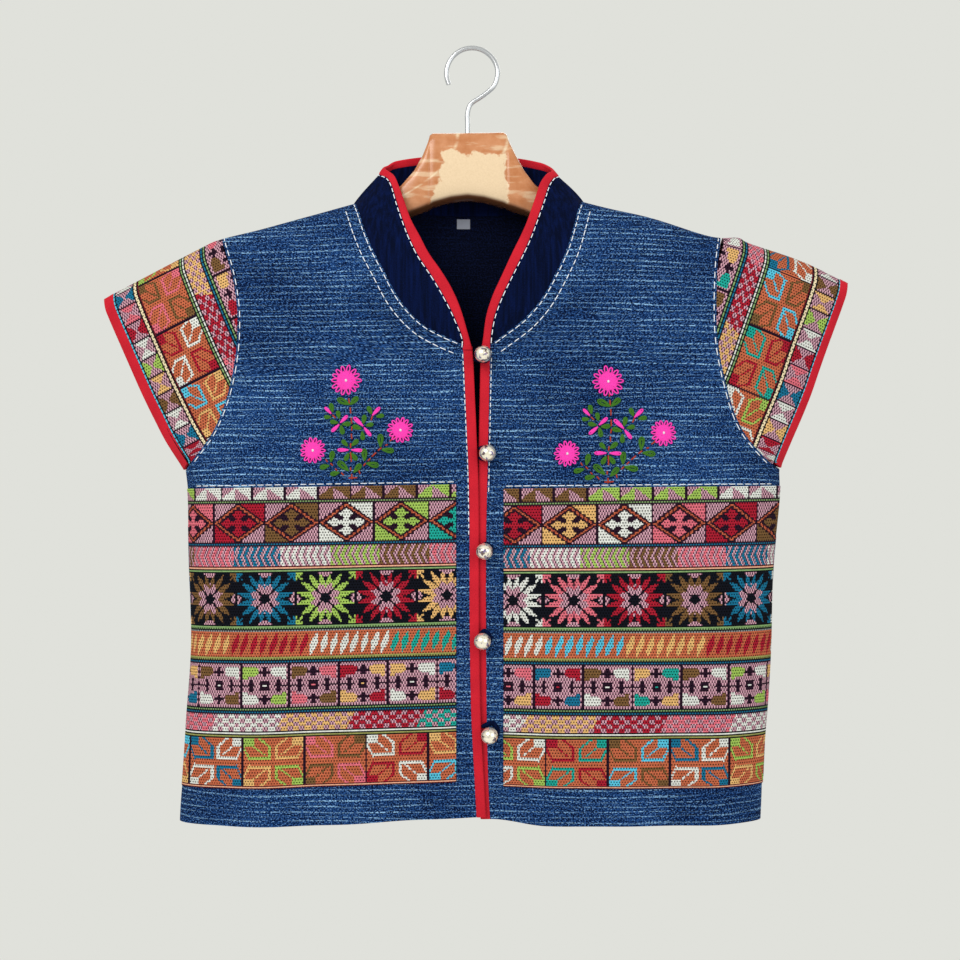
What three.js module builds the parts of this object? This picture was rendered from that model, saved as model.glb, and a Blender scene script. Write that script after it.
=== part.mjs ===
// Mandarin collar blouse with cap sleeves, hanging flat on a wooden hanger.
// Millimetres, +Z up. The origin is the inside top of the hanger's hook, where a rail carries it.
// +X is the wearer's left, and the fronts face -Y.
//
// Every cloth piece is a thin wall that follows one pair of surfaces, the front shell and the back
// shell. Both start at the side folds and the shoulder line and swell out from them like a quarter
// of an ellipse. The tables below give the outline of each piece as seen from the front; the depth
// comes from the shells, so neighbouring pieces always meet.

import * as THREE from "three";

// ---- driving dimensions -------------------------------------------------------------------------

const CLOTH = 1.3; // wall of the slub cotton and the sleeves
const COLLAR_CLOTH = 1.8; // two layers and a stiffener
const PANEL_CLOTH = 0.8;
const SEAM = 0.6; // gap left between neighbouring pieces
const LIFT = 0.35; // gap between a front and the panel lying on it
const BINDING_WIDTH = 8;
const SLEEVE_BINDING_WIDTH = 7;
const BINDING_PROUD = 0.7; // how far a binding stands out from its cloth
const FOLD = 0.65; // half the gap between front and back at a fold

const FRONT_DEPTH = 36; // from the side folds forward to the chest
const BACK_DEPTH = 28;
const SIDE_ROUND = 120; // how far in from a side fold the chest becomes flat
const SLEEVE_ROUND = 200;
const FRONT_DROP = 110; // how far below the shoulder line the front becomes flat
const BACK_DROP = 60;
const UNDERLAP = 3.5; // the left front lies this far behind the right one at the centre

const BUTTON_RADIUS = 6.4;
const LOOP_RADIUS = 7.2;
const LOOP_CORD = 1.1;
const HOOK_WIRE = 2;
const HOOK_INNER = 19;

// ---- outline tables -----------------------------------------------------------------------------

// Rows go up from the hem. inX, inZ: the front's centre edge, then its neckline.
// outX, outZ: the side seam, then the armhole. hemX, hemZ: the sleeve's lower edge, where there is one.
const COLUMNS = ["inX", "inZ", "outX", "outZ", "hemX", "hemZ"];
const named = (row) => Object.fromEntries(COLUMNS.map((column, i) => [column, row[i]]));

const RIGHT_ROWS = [
  [3.4, -621, -239.4, -626.9],
  [2.6, -606.5, -238.2, -613.5],
  [1.9, -593, -237, -600.7],
  [0.3, -563.6, -234.9, -571.4],
  [-1, -534.2, -233, -542],
  [-1.6, -504.8, -230.6, -512.8],
  [-2, -475.4, -229.4, -483.4],
  [-2.2, -446, -229.8, -454.1],
  [-2.2, -416.6, -231, -424.8],
  [-2.2, -387.2, -231.7, -395.4],
  [-2.6, -357.8, -232.1, -366.1],
  [-3.2, -336, -233.9, -345.2],
  [-3.9, -322, -228.6, -339.6, -231.6, -337.6],
  [-4.5, -308, -223.6, -333.8, -233.5, -334.5],
  [-5.6, -283, -210.5, -317.5, -244, -317.5],
  [-6.5, -262, -201.5, -300, -252.6, -300.3],
  [-7.5, -243.6, -194.4, -280.5, -262.8, -279.2],
  [-25.3, -235.9, -189.6, -259, -271.5, -259.6],
  [-41.3, -226.1, -187.2, -238, -279, -242.5],
  [-57.5, -208.2, -187.4, -216.5, -285.5, -227.7],
  [-71.4, -182.6, -190.2, -198, -290, -217.4],
  [-79.6, -166.9, -194.3, -182, -292.5, -211.8],
  [-86.5, -149.9, -198.3, -170, -293.8, -207.6],
  [-91, -136.7, -201.2, -162.6, -294.6, -204.2],
  [-93.6, -129.8, -202.9, -158.4, -295, -202],
  [-95.2, -126.5, -204, -155.9, -295.2, -200.9],
  [-96, -125.8, -204.6, -154.9, -295.4, -200.5],
].map(named);

const LEFT_ROWS = [
  [15, -623.4, 236.2, -624.8],
  [14.2, -608.8, 237, -611],
  [13.6, -594.6, 237.8, -596.6],
  [12.8, -565.1, 239.2, -567.2],
  [12.2, -535.6, 241.5, -537.7],
  [12, -506.1, 243.4, -508.2],
  [11.8, -476.6, 244.7, -478.6],
  [11.7, -447.1, 245.3, -448.7],
  [11.8, -417.6, 246.6, -419],
  [12, -388.1, 249.3, -389.3],
  [12.7, -358.6, 251.7, -359.6],
  [13.2, -336, 251.5, -343.6],
  [13.5, -322, 243.5, -339.2, 246.8, -337],
  [13.8, -308, 236.5, -334.3, 247.5, -335.5],
  [14.3, -283, 221, -317.5, 254.5, -318.3],
  [14.7, -262, 210.5, -298, 262.2, -300],
  [14.9, -243.6, 203.3, -274.5, 270.6, -278.8],
  [28.9, -233.5, 198.6, -254, 277, -260],
  [42.5, -222.9, 196, -233, 283, -243],
  [56.2, -206.6, 195.7, -212.5, 288.6, -227.8],
  [69.2, -182.6, 196.5, -194, 293.2, -215.3],
  [76.7, -165.3, 198, -178, 296.6, -206],
  [81.8, -148.3, 200, -167, 299, -199.5],
  [85.4, -135.1, 201.5, -160.5, 300.2, -194.8],
  [88, -127.9, 202.4, -156.9, 301, -190.9],
  [89.6, -124.9, 202.9, -154.7, 301.4, -188.9],
  [90.5, -124.2, 203.3, -153.8, 301.6, -188.1],
].map(named);

const HEM = 0;
const PANEL_BOTTOM = 2;
const UNDERARM = 11;
const SLEEVE_START = 12;
const NECK = 16;
const SHOULDER = 26;

// The line along the top of shoulders and sleeves, x and z, carried on up over the neck opening.
const TOP_LINE = [
  [-302.5, -205], [-296.8, -201.3], [-264, -184.1], [-223, -162.8], [-206.6, -155.4],
  [-173.8, -147.2], [-141, -138.2], [-108.2, -129.2], [0, -99], [97, -126], [146, -137.4],
  [187, -150.5], [203.4, -153.8], [218, -153.8], [228, -158.7], [269, -172.6], [301.8, -188.2],
  [309, -192],
];

// The outermost line of each half, z and x: the side fold below the arm, the sleeve's hem above it.
const RIGHT_EDGE = [
  [-640, -240], [-614.6, -238.6], [-573.6, -235.3], [-532.6, -232.9], [-491.6, -229.6],
  [-450.6, -229.6], [-409.6, -231.2], [-368.6, -232.1], [-345.6, -234.5], [-319.6, -250.8],
  [-287.1, -266.9], [-254.6, -281.3], [-221.9, -295.6], [-204, -302.4],
];
const LEFT_EDGE = [
  [-640, 235.4], [-614.6, 237], [-573.6, 238.6], [-532.6, 241.9], [-491.6, 244.4],
  [-450.6, 245.2], [-409.6, 246.8], [-368.6, 251.7], [-344, 251.7], [-319.6, 261.5],
  [-287.1, 275.1], [-254.6, 286.3], [-221.9, 298.2], [-192, 309],
];

// The collar from the right front end round the back to the left one. "row" is the neckline row that
// it is sewn to, or "g" the share of the way across the back's top edge.
// e: the edge where the binding starts; f: the binding's folded edge. Both are x, y, z.
const COLLAR = [
  { side: "right", row: 16, e: [-8.2, -37.3, -239.2], f: [-1.5, -38, -241.5] },
  { side: "right", row: 17, e: [-15.7, -37.3, -221], f: [-8.5, -38, -217.2] },
  { side: "right", row: 18, e: [-24.5, -37.2, -204], f: [-15.7, -37.8, -200.2] },
  { side: "right", row: 19, e: [-33.3, -37, -189.4], f: [-24.5, -37.4, -185.5] },
  { side: "right", row: 20, e: [-43.1, -35.6, -174.6], f: [-34.2, -36.2, -171.5] },
  { side: "right", row: 21, e: [-50.4, -33, -159.7], f: [-41.5, -33.8, -157.4] },
  { side: "right", row: 22, e: [-56.2, -28.5, -144.5], f: [-48.9, -29.5, -143.2] },
  { side: "right", row: 23, e: [-61.3, -22.5, -129.1], f: [-54, -24, -128.7] },
  { side: "right", row: 24, e: [-65.6, -15.5, -114.5], f: [-58.6, -17.5, -115.5] },
  { side: "right", row: 25, e: [-70, -9, -107], f: [-63.5, -11, -104.5] },
  { side: "right", row: 26, e: [-76.5, -2, -103], f: [-71.5, -3.5, -97.2] },
  { side: "back", g: 0.3, e: [-71.5, 6.5, -99.8], f: [-68.5, 5.5, -92.6] },
  { side: "back", g: 0.34, e: [-63, 13, -95.5], f: [-61, 12, -87.6] },
  { side: "back", g: 0.42, e: [-34, 19.5, -90.8], f: [-33.5, 19, -82.8] },
  { side: "back", g: 0.5, e: [0, 22.3, -90.2], f: [0, 22, -82.2] },
  { side: "back", g: 0.58, e: [33, 20, -91.6], f: [33, 19.5, -83.8] },
  { side: "back", g: 0.65, e: [57, 14.5, -96.5], f: [55, 13.5, -88.6] },
  { side: "back", g: 0.69, e: [66.5, 7, -100.5], f: [63, 6, -93.4] },
  { side: "left", row: 26, e: [71.5, -2, -104.5], f: [65.5, -3.5, -99] },
  { side: "left", row: 25, e: [67.5, -9, -107.2], f: [60.5, -10.5, -103.5] },
  { side: "left", row: 24, e: [63.2, -14.5, -114], f: [55.2, -16, -112] },
  { side: "left", row: 23, e: [59.1, -22.5, -126.7], f: [50.9, -24, -125.4] },
  { side: "left", row: 22, e: [52.4, -28.5, -146.1], f: [44.3, -29.5, -144.8] },
  { side: "left", row: 21, e: [46.7, -33, -161.3], f: [38.6, -33.8, -158.2] },
  { side: "left", row: 20, e: [40.6, -35.6, -174.6], f: [32.5, -36.2, -170.7] },
  { side: "left", row: 19, e: [31.4, -36.8, -193], f: [23.8, -37.2, -189.6] },
  { side: "left", row: 18, e: [24.2, -36.6, -208.2], f: [16.6, -37, -205.4] },
  { side: "left", row: 17, e: [18.6, -35.8, -224], f: [11.4, -36.2, -222] },
  { side: "left", row: 16, e: [16, -34.6, -238.6], f: [8.9, -35.2, -240.5] },
];

// Where each sleeve binding ends at the underarm: x and z beside the sleeve and at the fold.
const RIGHT_UNDERARM = [[-231.6, -339.4], [-235.8, -344]];
const LEFT_UNDERARM = [[247.2, -339.2], [253, -342.2]];

const BUTTONS = [[8.9, -252.7], [12.5, -330.9], [10.1, -408.7], [8.5, -479.8], [14.1, -554.4]];

// The hanger's outline, a row per station: x, top, bottom, half the thickness there. An arm's top
// has no number: it lies just under the cloth of the shoulder.
const HANGER = [
  [-190, -155.5, -168, 3], [-186, null, -171, 5.6], [-160, null, -168.5, 6], [-130, null, -163.5, 6],
  [-110, null, -157.5, 6], [-97, null, -152.5, 6], [-84, -126.2, -147, 6.5], [-70, -119.5, -141.5, 8],
  [-57.7, -111.3, -136.5, 9], [-47, -99.1, -132.5, 9.5], [-40.4, -87, -129.8, 9.5], [-36, -76, -128, 9.5],
  [-34.4, -70.2, -127.2, 9], [-32, -68.7, -125.8, 9.5], [-17, -68.7, -121.8, 9.5], [-3.5, -68.5, -120.3, 9.5],
  [10, -68.3, -121.9, 9.5], [26, -68, -126.2, 9.5], [28.4, -69.8, -127.4, 9], [30.6, -76, -128.2, 9.5],
  [36, -87, -130, 9.5], [42.5, -99.1, -132.6, 9.5], [51.5, -111, -136.5, 9], [64, -119.5, -141.5, 8],
  [78, -126, -147, 6.5], [92, -130.2, -152.5, 6], [105, null, -157.5, 6], [128, null, -163.5, 6],
  [158, null, -168.5, 6], [184, null, -171, 5.6], [188, -158, -168, 3],
];

// ---- looks --------------------------------------------------------------------------------------

const paint = (color, roughness, metalness = 0) =>
  new THREE.MeshStandardMaterial({ color, roughness, metalness });
const denim = () => paint(0x24406b, 0.85);
const indigo = () => paint(0x0b1742, 0.85);
const brocade = () => paint(0x9a6a5a, 0.9);
const red = () => paint(0xb81c2e, 0.8);

// ---- the two shells -----------------------------------------------------------------------------

const lerp = (a, b, t) => a + (b - a) * t;
const clamp01 = (t) => Math.min(1, Math.max(0, t));
const smooth = (t) => clamp01(t) ** 2 * (3 - 2 * clamp01(t));

function lookUp(table, at) {
  if (at <= table[0][0]) return table[0][1];
  for (let i = 1; i < table.length; i += 1) {
    const [x0, y0] = table[i - 1];
    const [x1, y1] = table[i];
    if (at <= x1) return lerp(y0, y1, (at - x0) / (x1 - x0));
  }
  return table[table.length - 1][1];
}

const quarterEllipse = (t) => Math.sqrt(Math.max(0, 1 - (1 - clamp01(t)) ** 2));

// How far the cloth stands from the plane of the side folds, at a point seen from the front.
function depth(x, z, deep, drop) {
  const edge = lookUp(x < 5 ? RIGHT_EDGE : LEFT_EDGE, z);
  const aboveArm = smooth((z + 345) / 45);
  const open = z > -345 ? 0.31 + 3.5 * smooth((z + 345) / 60) : 0;
  const inward = Math.max(0, Math.abs(edge) - Math.abs(x)) + open;
  const across = quarterEllipse(inward / lerp(SIDE_ROUND, SLEEVE_ROUND, aboveArm));
  const below = lookUp(TOP_LINE, x) - z;
  const down = quarterEllipse(below / (25 + (drop - 25) * across ** 2));
  return deep * across * down;
}

// Soft upright folds that grow toward the hem.
const ripple = (x, z) =>
  clamp01((-400 - z) / 230) * (2.2 * Math.sin(x / 21 + 0.8) + 1.2 * Math.sin(x / 11.5));

function onFront(x, z) {
  const atCentre = x > 5 ? UNDERLAP * (1 - smooth((x - 20) / 60)) : 0;
  return -depth(x, z, FRONT_DEPTH - atCentre, FRONT_DROP) + ripple(x, z) * sideFade(x, z);
}

const onBack = (x, z) => depth(x, z, BACK_DEPTH, BACK_DROP) + ripple(x + 40, z) * sideFade(x, z);

function sideFade(x, z) {
  const edge = lookUp(x < 5 ? RIGHT_EDGE : LEFT_EDGE, z);
  return smooth((Math.abs(edge) - Math.abs(x)) / 50);
}

// ---- building closed sheets ---------------------------------------------------------------------

const V = (x, y, z) => new THREE.Vector3(x, y, z);

// Normals of a grid of points, all turned to the side that "outward" points to.
function gridNormals(grid, outward) {
  const rows = grid.length;
  const columns = grid[0].length;
  return grid.map((line, i) =>
    line.map((point, j) => {
      const up = grid[Math.min(i + 1, rows - 1)][j].clone().sub(grid[Math.max(i - 1, 0)][j]);
      const along = line[Math.min(j + 1, columns - 1)].clone().sub(line[Math.max(j - 1, 0)]);
      const normal = up.cross(along).normalize();
      return normal.dot(outward(point)) < 0 ? normal.negate() : normal;
    }),
  );
}

function closedMesh(name, positions, triangles, material) {
  let volume = 0;
  const corner = (i) => V(positions[3 * i], positions[3 * i + 1], positions[3 * i + 2]);
  for (const [a, b, c] of triangles) {
    volume += corner(a).dot(corner(b).cross(corner(c))) / 6;
  }
  const index = triangles.flatMap(([a, b, c]) => (volume < 0 ? [a, c, b] : [a, b, c]));
  const geometry = new THREE.BufferGeometry();
  geometry.setAttribute("position", new THREE.Float32BufferAttribute(positions, 3));
  geometry.setIndex(index);
  geometry.computeVertexNormals();
  const mesh = new THREE.Mesh(geometry, material);
  mesh.name = name;
  return mesh;
}

// A grid of points becomes a wall between "top" outside it and "bottom" (negative: inside it).
function sheet(name, grid, outward, top, bottom, material) {
  const normals = gridNormals(grid, outward);
  const rows = grid.length;
  const columns = grid[0].length;
  const positions = [];
  for (const reach of [top, bottom]) {
    grid.forEach((line, i) =>
      line.forEach((point, j) => {
        const moved = point.clone().addScaledVector(normals[i][j], reach);
        positions.push(moved.x, moved.y, moved.z);
      }),
    );
  }
  const at = (face, i, j) => face * rows * columns + i * columns + j;
  const triangles = [];
  const quad = (a, b, c, d) => triangles.push([a, b, c], [a, c, d]);
  for (let i = 0; i < rows - 1; i += 1) {
    for (let j = 0; j < columns - 1; j += 1) {
      quad(at(0, i, j), at(0, i + 1, j), at(0, i + 1, j + 1), at(0, i, j + 1));
      quad(at(1, i, j), at(1, i, j + 1), at(1, i + 1, j + 1), at(1, i + 1, j));
    }
  }
  for (let i = 0; i < rows - 1; i += 1) {
    quad(at(0, i, 0), at(1, i, 0), at(1, i + 1, 0), at(0, i + 1, 0));
    quad(at(0, i + 1, columns - 1), at(1, i + 1, columns - 1), at(1, i, columns - 1), at(0, i, columns - 1));
  }
  for (let j = 0; j < columns - 1; j += 1) {
    quad(at(0, 0, j + 1), at(1, 0, j + 1), at(1, 0, j), at(0, 0, j));
    quad(at(0, rows - 1, j), at(1, rows - 1, j), at(1, rows - 1, j + 1), at(0, rows - 1, j + 1));
  }
  return closedMesh(name, positions, triangles, material);
}

const forward = () => V(0, -1, 0);
const backward = () => V(0, 1, 0);
const fromCore = (point) => V(point.x * 0.1, point.y, (point.z + 400) * 0.02);

// ---- fronts -------------------------------------------------------------------------------------

// Shares of the width, from the side inward, close together where the cloth turns at the side fold.
const FRONT_SHARES = [0, 0.005, 0.02, 0.045, 0.085, 0.145, 0.22, 0.32, 0.45, 0.6, 0.77];
const PANEL_EDGE = { right: -12.5, left: 25.4 }; // x of each panel's inner edge, which hangs plumb
const PLACKET = 10; // above the panels, the last column of points runs this far from the neckline

function riseOf(rows, i) {
  const base = rows[UNDERARM].outZ;
  return clamp01((rows[i].outZ - base) / (rows[SHOULDER].outZ - base)) ** 2;
}

function frontGrid(rows, panelEdge) {
  const topRow = rows[SHOULDER];
  return rows.map((row, i) => {
    const width = Math.hypot(row.inX - row.outX, row.inZ - row.outZ);
    const inset = i <= UNDERARM ? Math.abs(row.inX - panelEdge) : PLACKET;
    const shares = [...FRONT_SHARES, 1 - inset / width, 1];
    const rise = riseOf(rows, i);
    return shares.map((share, j) => {
      const x = lerp(row.outX, row.inX, share);
      const topX = lerp(topRow.outX, topRow.inX, share);
      const lift = lookUp(TOP_LINE, topX) - lerp(topRow.outZ, topRow.inZ, share);
      const z = lerp(row.outZ, row.inZ, share) + rise * lift;
      const atFold = i === SHOULDER || (j === 0 && i <= UNDERARM);
      return V(x, atFold ? -FOLD : onFront(x, z), z);
    });
  });
}

const rightFront = frontGrid(RIGHT_ROWS, PANEL_EDGE.right);
const leftFront = frontGrid(LEFT_ROWS, PANEL_EDGE.left);
const frontRight = sheet("front_right", rightFront, fromCore, 0, -CLOTH, denim());
const frontLeft = sheet("front_left", leftFront, fromCore, 0, -CLOTH, denim());

// The panels lie on the fronts, on the same points moved out. "low" and "high" say which row, with its
// fraction, a panel's bottom and top edges follow, first at the side and then at the placket.
function panel(name, front, low, high) {
  const line = (ends) =>
    front[0].map((_, j) => {
      const at = lerp(ends[0], ends[1], FRONT_SHARES[j] ?? 1);
      const i = Math.floor(at);
      return front[i][j].clone().lerp(front[i + 1][j], at - i);
    });
  const rows = [low];
  for (let i = PANEL_BOTTOM + 1; i < Math.min(...high) - 0.05; i += 1) rows.push([i, i]);
  rows.push(high);
  const part = rows.map((ends) => line(ends).slice(1, 12));
  return sheet(name, part, fromCore, LIFT + PANEL_CLOTH, LIFT, brocade());
}

const panelRight = panel("panel_right", rightFront, [2, 2.055], [10.27, 10.1]);
const panelLeft = panel("panel_left", leftFront, [1.89, 1.89], [10.08, 10]);

// ---- back ---------------------------------------------------------------------------------------

const BACK_SHARES = [
  0, 0.0025, 0.01, 0.0225, 0.045, 0.085, 0.15, 0.21, 0.266, 0.3, 0.34, 0.42, 0.5, 0.58, 0.65, 0.69,
  0.7235, 0.785, 0.85, 0.915, 0.955, 0.9775, 0.99, 0.9975, 1,
];
const NECK_RIGHT = 0.266;
const NECK_LEFT = 0.7235;
const BACK_NECK_Z = -131;

// The back's top edge: the shoulder line, then the shallow curve of the back neck.
function backTop(share) {
  const x = lerp(RIGHT_ROWS[SHOULDER].outX, LEFT_ROWS[SHOULDER].outX, share);
  if (share <= NECK_RIGHT || share >= NECK_LEFT) return V(x, FOLD, lookUp(TOP_LINE, x));
  const across = (share - NECK_RIGHT) / (NECK_LEFT - NECK_RIGHT);
  const ends = lerp(RIGHT_ROWS[SHOULDER].inZ, LEFT_ROWS[SHOULDER].inZ, across);
  const z = lerp(ends, BACK_NECK_Z, Math.sqrt(Math.sin(Math.PI * across)));
  return V(x, onBack(x, z), z);
}

const backGrid = RIGHT_ROWS.map((right, i) => {
  const left = LEFT_ROWS[i];
  const rise = riseOf(RIGHT_ROWS, i);
  return BACK_SHARES.map((share) => {
    const top = backTop(share);
    if (i === SHOULDER) return top;
    const x = lerp(right.outX, left.outX, share);
    const straight = lerp(RIGHT_ROWS[SHOULDER].outZ, LEFT_ROWS[SHOULDER].outZ, share);
    const z = lerp(right.outZ, left.outZ, share) + rise * (top.z - straight);
    const atFold = i <= UNDERARM && (share === 0 || share === 1);
    return V(x, atFold ? FOLD : onBack(x, z), z);
  });
});
const back = sheet("back", backGrid, fromCore, 0, -CLOTH, denim());

// ---- sleeves ------------------------------------------------------------------------------------

const SLEEVE_SHARES = [0, 0.25, 0.5, 0.75, 1];

// One cap sleeve: up the front from the underarm, over the shoulder line and down the back.
function sleeveLine(rows, i, shell, share) {
  const row = rows[i];
  const run = V(rows[Math.min(i + 1, SHOULDER)].outX - rows[i - 1].outX, 0, 0);
  run.z = rows[Math.min(i + 1, SHOULDER)].outZ - rows[i - 1].outZ;
  const gap = i < SLEEVE_START + 2 ? 2 * SEAM : SEAM;
  const side = Math.sign(row.outX);
  const away = V(side * run.z, 0, -side * run.x).setLength(gap);
  const x = lerp(row.outX + away.x, row.hemX, share);
  if (i === SHOULDER) return V(x, 0, lookUp(TOP_LINE, x));
  const z = Math.min(lerp(row.outZ + away.z, row.hemZ, share), lookUp(TOP_LINE, x) - 0.2);
  return V(x, shell(x, z), z);
}

function sleeveGrid(rows) {
  const upFront = [];
  for (let i = SLEEVE_START; i <= SHOULDER; i += 1) {
    upFront.push(SLEEVE_SHARES.map((share) => sleeveLine(rows, i, onFront, share)));
  }
  const downBack = [];
  for (let i = SHOULDER - 1; i >= SLEEVE_START; i -= 1) {
    downBack.push(SLEEVE_SHARES.map((share) => sleeveLine(rows, i, onBack, share)));
  }
  return [...upFront, ...downBack];
}

const sleeveOut = (point) => V(0, point.y, 2 + (point.z + 345) * 0.01);
const sleeveRight = sheet("sleeve_right", sleeveGrid(RIGHT_ROWS), sleeveOut, 0, -CLOTH, brocade());
const sleeveLeft = sheet("sleeve_left", sleeveGrid(LEFT_ROWS), sleeveOut, 0, -CLOTH, brocade());

// The red binding carries the sleeve on to its folded hem, and down to the underarm.
function sleeveBindingGrid(rows, away, underarm) {
  const shares = [0, 0.5, 1];
  const line = (i, shell) =>
    shares.map((share) => {
      const reach = lerp(SEAM, SLEEVE_BINDING_WIDTH, share);
      const x = rows[i].hemX + away[0] * reach;
      const roof = lookUp(TOP_LINE, x);
      if (i === SHOULDER) return V(x, 0, roof);
      const z = Math.min(rows[i].hemZ + away[1] * reach, roof - 0.2);
      return V(x, shell(x, z), z);
    });
  const end = (shell) =>
    shares.map((share) => {
      const x = lerp(underarm[0][0], underarm[1][0], share);
      const z = lerp(underarm[0][1], underarm[1][1], share);
      return V(x, shell(x, z), z);
    });
  const grid = [end(onFront)];
  for (let i = SLEEVE_START + 1; i <= SHOULDER; i += 1) grid.push(line(i, onFront));
  for (let i = SHOULDER - 1; i > SLEEVE_START; i -= 1) grid.push(line(i, onBack));
  grid.push(end(onBack));
  return grid;
}

const rightHem = sleeveBindingGrid(RIGHT_ROWS, [-0.907, -0.42], RIGHT_UNDERARM);
const leftHem = sleeveBindingGrid(LEFT_ROWS, [0.93, -0.36], LEFT_UNDERARM);
const sleeveBindingRight = sheet("sleeve_binding_right", rightHem, sleeveOut, 0.4, -1.6, red());
const sleeveBindingLeft = sheet("sleeve_binding_left", leftHem, sleeveOut, 0.4, -1.6, red());

// ---- collar and bindings ------------------------------------------------------------------------

const fromNeck = (point) => V(point.x * 0.6, point.z < -150 ? -60 : point.y * 2 - 12, 0);

function neckPoint(station) {
  if (station.side === "back") return backTop(station.g);
  const rows = station.side === "right" ? RIGHT_ROWS : LEFT_ROWS;
  const row = rows[station.row];
  const next = rows[station.row + 1];
  if (station.row === SHOULDER) return V(row.inX, 0, row.inZ);
  const along = station.row === NECK ? 0.18 : 0;
  const x = lerp(row.inX, next.inX, along);
  const z = lerp(row.inZ, next.inZ, along);
  return V(x, onFront(x, z), z);
}

const collarGrid = COLLAR.map((station) => {
  const foot = neckPoint(station);
  const edge = V(...station.e);
  foot.add(edge.clone().sub(foot).setLength(SEAM + 0.2));
  return [0, 0.33, 0.67, 1].map((share) => foot.clone().lerp(edge, share));
});
const collar = sheet("collar", collarGrid, fromNeck, 0, -COLLAR_CLOTH, indigo());

const collarBindingGrid = COLLAR.map((station) => {
  const edge = V(...station.e);
  const fold = V(...station.f);
  edge.add(fold.clone().sub(edge).setLength(2.6 * SEAM));
  return [0, 0.5, 1].map((share) => edge.clone().lerp(fold, share));
});
const collarBinding = sheet("collar_binding", collarBindingGrid, fromNeck, BINDING_PROUD, -1.9, red());

// Each front edge ends in a binding of its own; the right one lies over the left one.
function frontBinding(name, rows, toward, shell) {
  const grid = [];
  for (let i = HEM; i <= NECK; i += 1) {
    const row = rows[i];
    const z = i === NECK ? row.inZ - 2.6 : row.inZ;
    const y = shell(row.inX, row.inZ);
    grid.push([SEAM, BINDING_WIDTH / 2, BINDING_WIDTH].map((reach) => V(row.inX + toward * reach, y, z)));
  }
  return sheet(name, grid, forward, BINDING_PROUD, -1.6, red());
}

const frontBindingRight = frontBinding("front_binding_right", RIGHT_ROWS, 1, onFront);
const frontBindingLeft = frontBinding("front_binding_left", LEFT_ROWS, -1, onFront);

// ---- buttons and loops --------------------------------------------------------------------------

// The right binding's free edge and its face, which the buttons and their loops follow.
const frontEdge = RIGHT_ROWS.slice(0, NECK + 1).map((row) => [row.inZ, row.inX]);
const edgeX = (z) => lookUp(frontEdge, z) + BINDING_WIDTH;
const rimY = (z) => -FRONT_DEPTH - BINDING_PROUD + ripple(edgeX(z) - BINDING_WIDTH, z);

// A ball with a short shank that reaches back past the right front's binding.
function button([x, z], number) {
  const centre = rimY(z) - 0.9 - BUTTON_RADIUS;
  const foot = onFront(12, z) - BINDING_PROUD - 0.5 - centre;
  const profile = [new THREE.Vector2(0, -BUTTON_RADIUS)];
  for (let i = 1; i <= 7; i += 1) {
    const angle = -Math.PI / 2 + (i / 7.6) * Math.PI;
    profile.push(new THREE.Vector2(BUTTON_RADIUS * Math.cos(angle), BUTTON_RADIUS * Math.sin(angle)));
  }
  profile.push(new THREE.Vector2(1.3, 6.25));
  profile.push(new THREE.Vector2(1.3, foot));
  profile.push(new THREE.Vector2(0, foot));
  const mesh = new THREE.Mesh(new THREE.LatheGeometry(profile, 12), paint(0xd8d3cc, 0.2, 0.8));
  mesh.name = `button_${number}`;
  mesh.position.set(x, centre, z);
  return mesh;
}

// ---- tubes --------------------------------------------------------------------------------------

function tube(name, curve, radius, sides, steps, material) {
  const circle = new THREE.Shape();
  for (let i = 0; i < sides; i += 1) {
    const angle = (i / sides) * 2 * Math.PI;
    const point = [radius * Math.cos(angle), radius * Math.sin(angle)];
    if (i === 0) circle.moveTo(...point);
    else circle.lineTo(...point);
  }
  circle.closePath();
  const geometry = new THREE.ExtrudeGeometry(circle, { extrudePath: curve, steps, bevelEnabled: false });
  const mesh = new THREE.Mesh(geometry, material);
  mesh.name = name;
  return mesh;
}

// A cord from the right front's edge, round the shank in front of the cloth, and back to the edge.
function loop([x, z], number) {
  const start = edgeX(z) + 1.5;
  const near = Math.min(start + 1.6, x - 0.3);
  const front = rimY(z) - 0.5 - LOOP_CORD;
  const edge = rimY(z) + BINDING_PROUD;
  const points = [V(start, edge, z + 6.6), V(near, lerp(edge, front, 0.6), z + 7)];
  for (let angle = 90; angle >= -90; angle -= 22.5) {
    const turn = THREE.MathUtils.degToRad(angle);
    points.push(V(x + LOOP_RADIUS * Math.cos(turn), front, z + LOOP_RADIUS * Math.sin(turn)));
  }
  points.push(V(near, lerp(edge, front, 0.6), z - 7), V(start, edge, z - 6.6));
  return tube(`loop_${number}`, new THREE.CatmullRomCurve3(points), LOOP_CORD, 6, 18, indigo());
}

// ---- size tab -----------------------------------------------------------------------------------

const labelGrid = [-142, -134].map((z) => [-12.8, -1.8].map((x) => V(x, onBack(x, z), z)));
const label = sheet("size_label", labelGrid, backward, -CLOTH - 0.5, -CLOTH - 1.1, paint(0x9a9aa8, 0.9));

// ---- hanger -------------------------------------------------------------------------------------

const UNDERSIDE_SLOPE = 4; // the back of the lower edge hangs this much lower than its front

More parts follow.
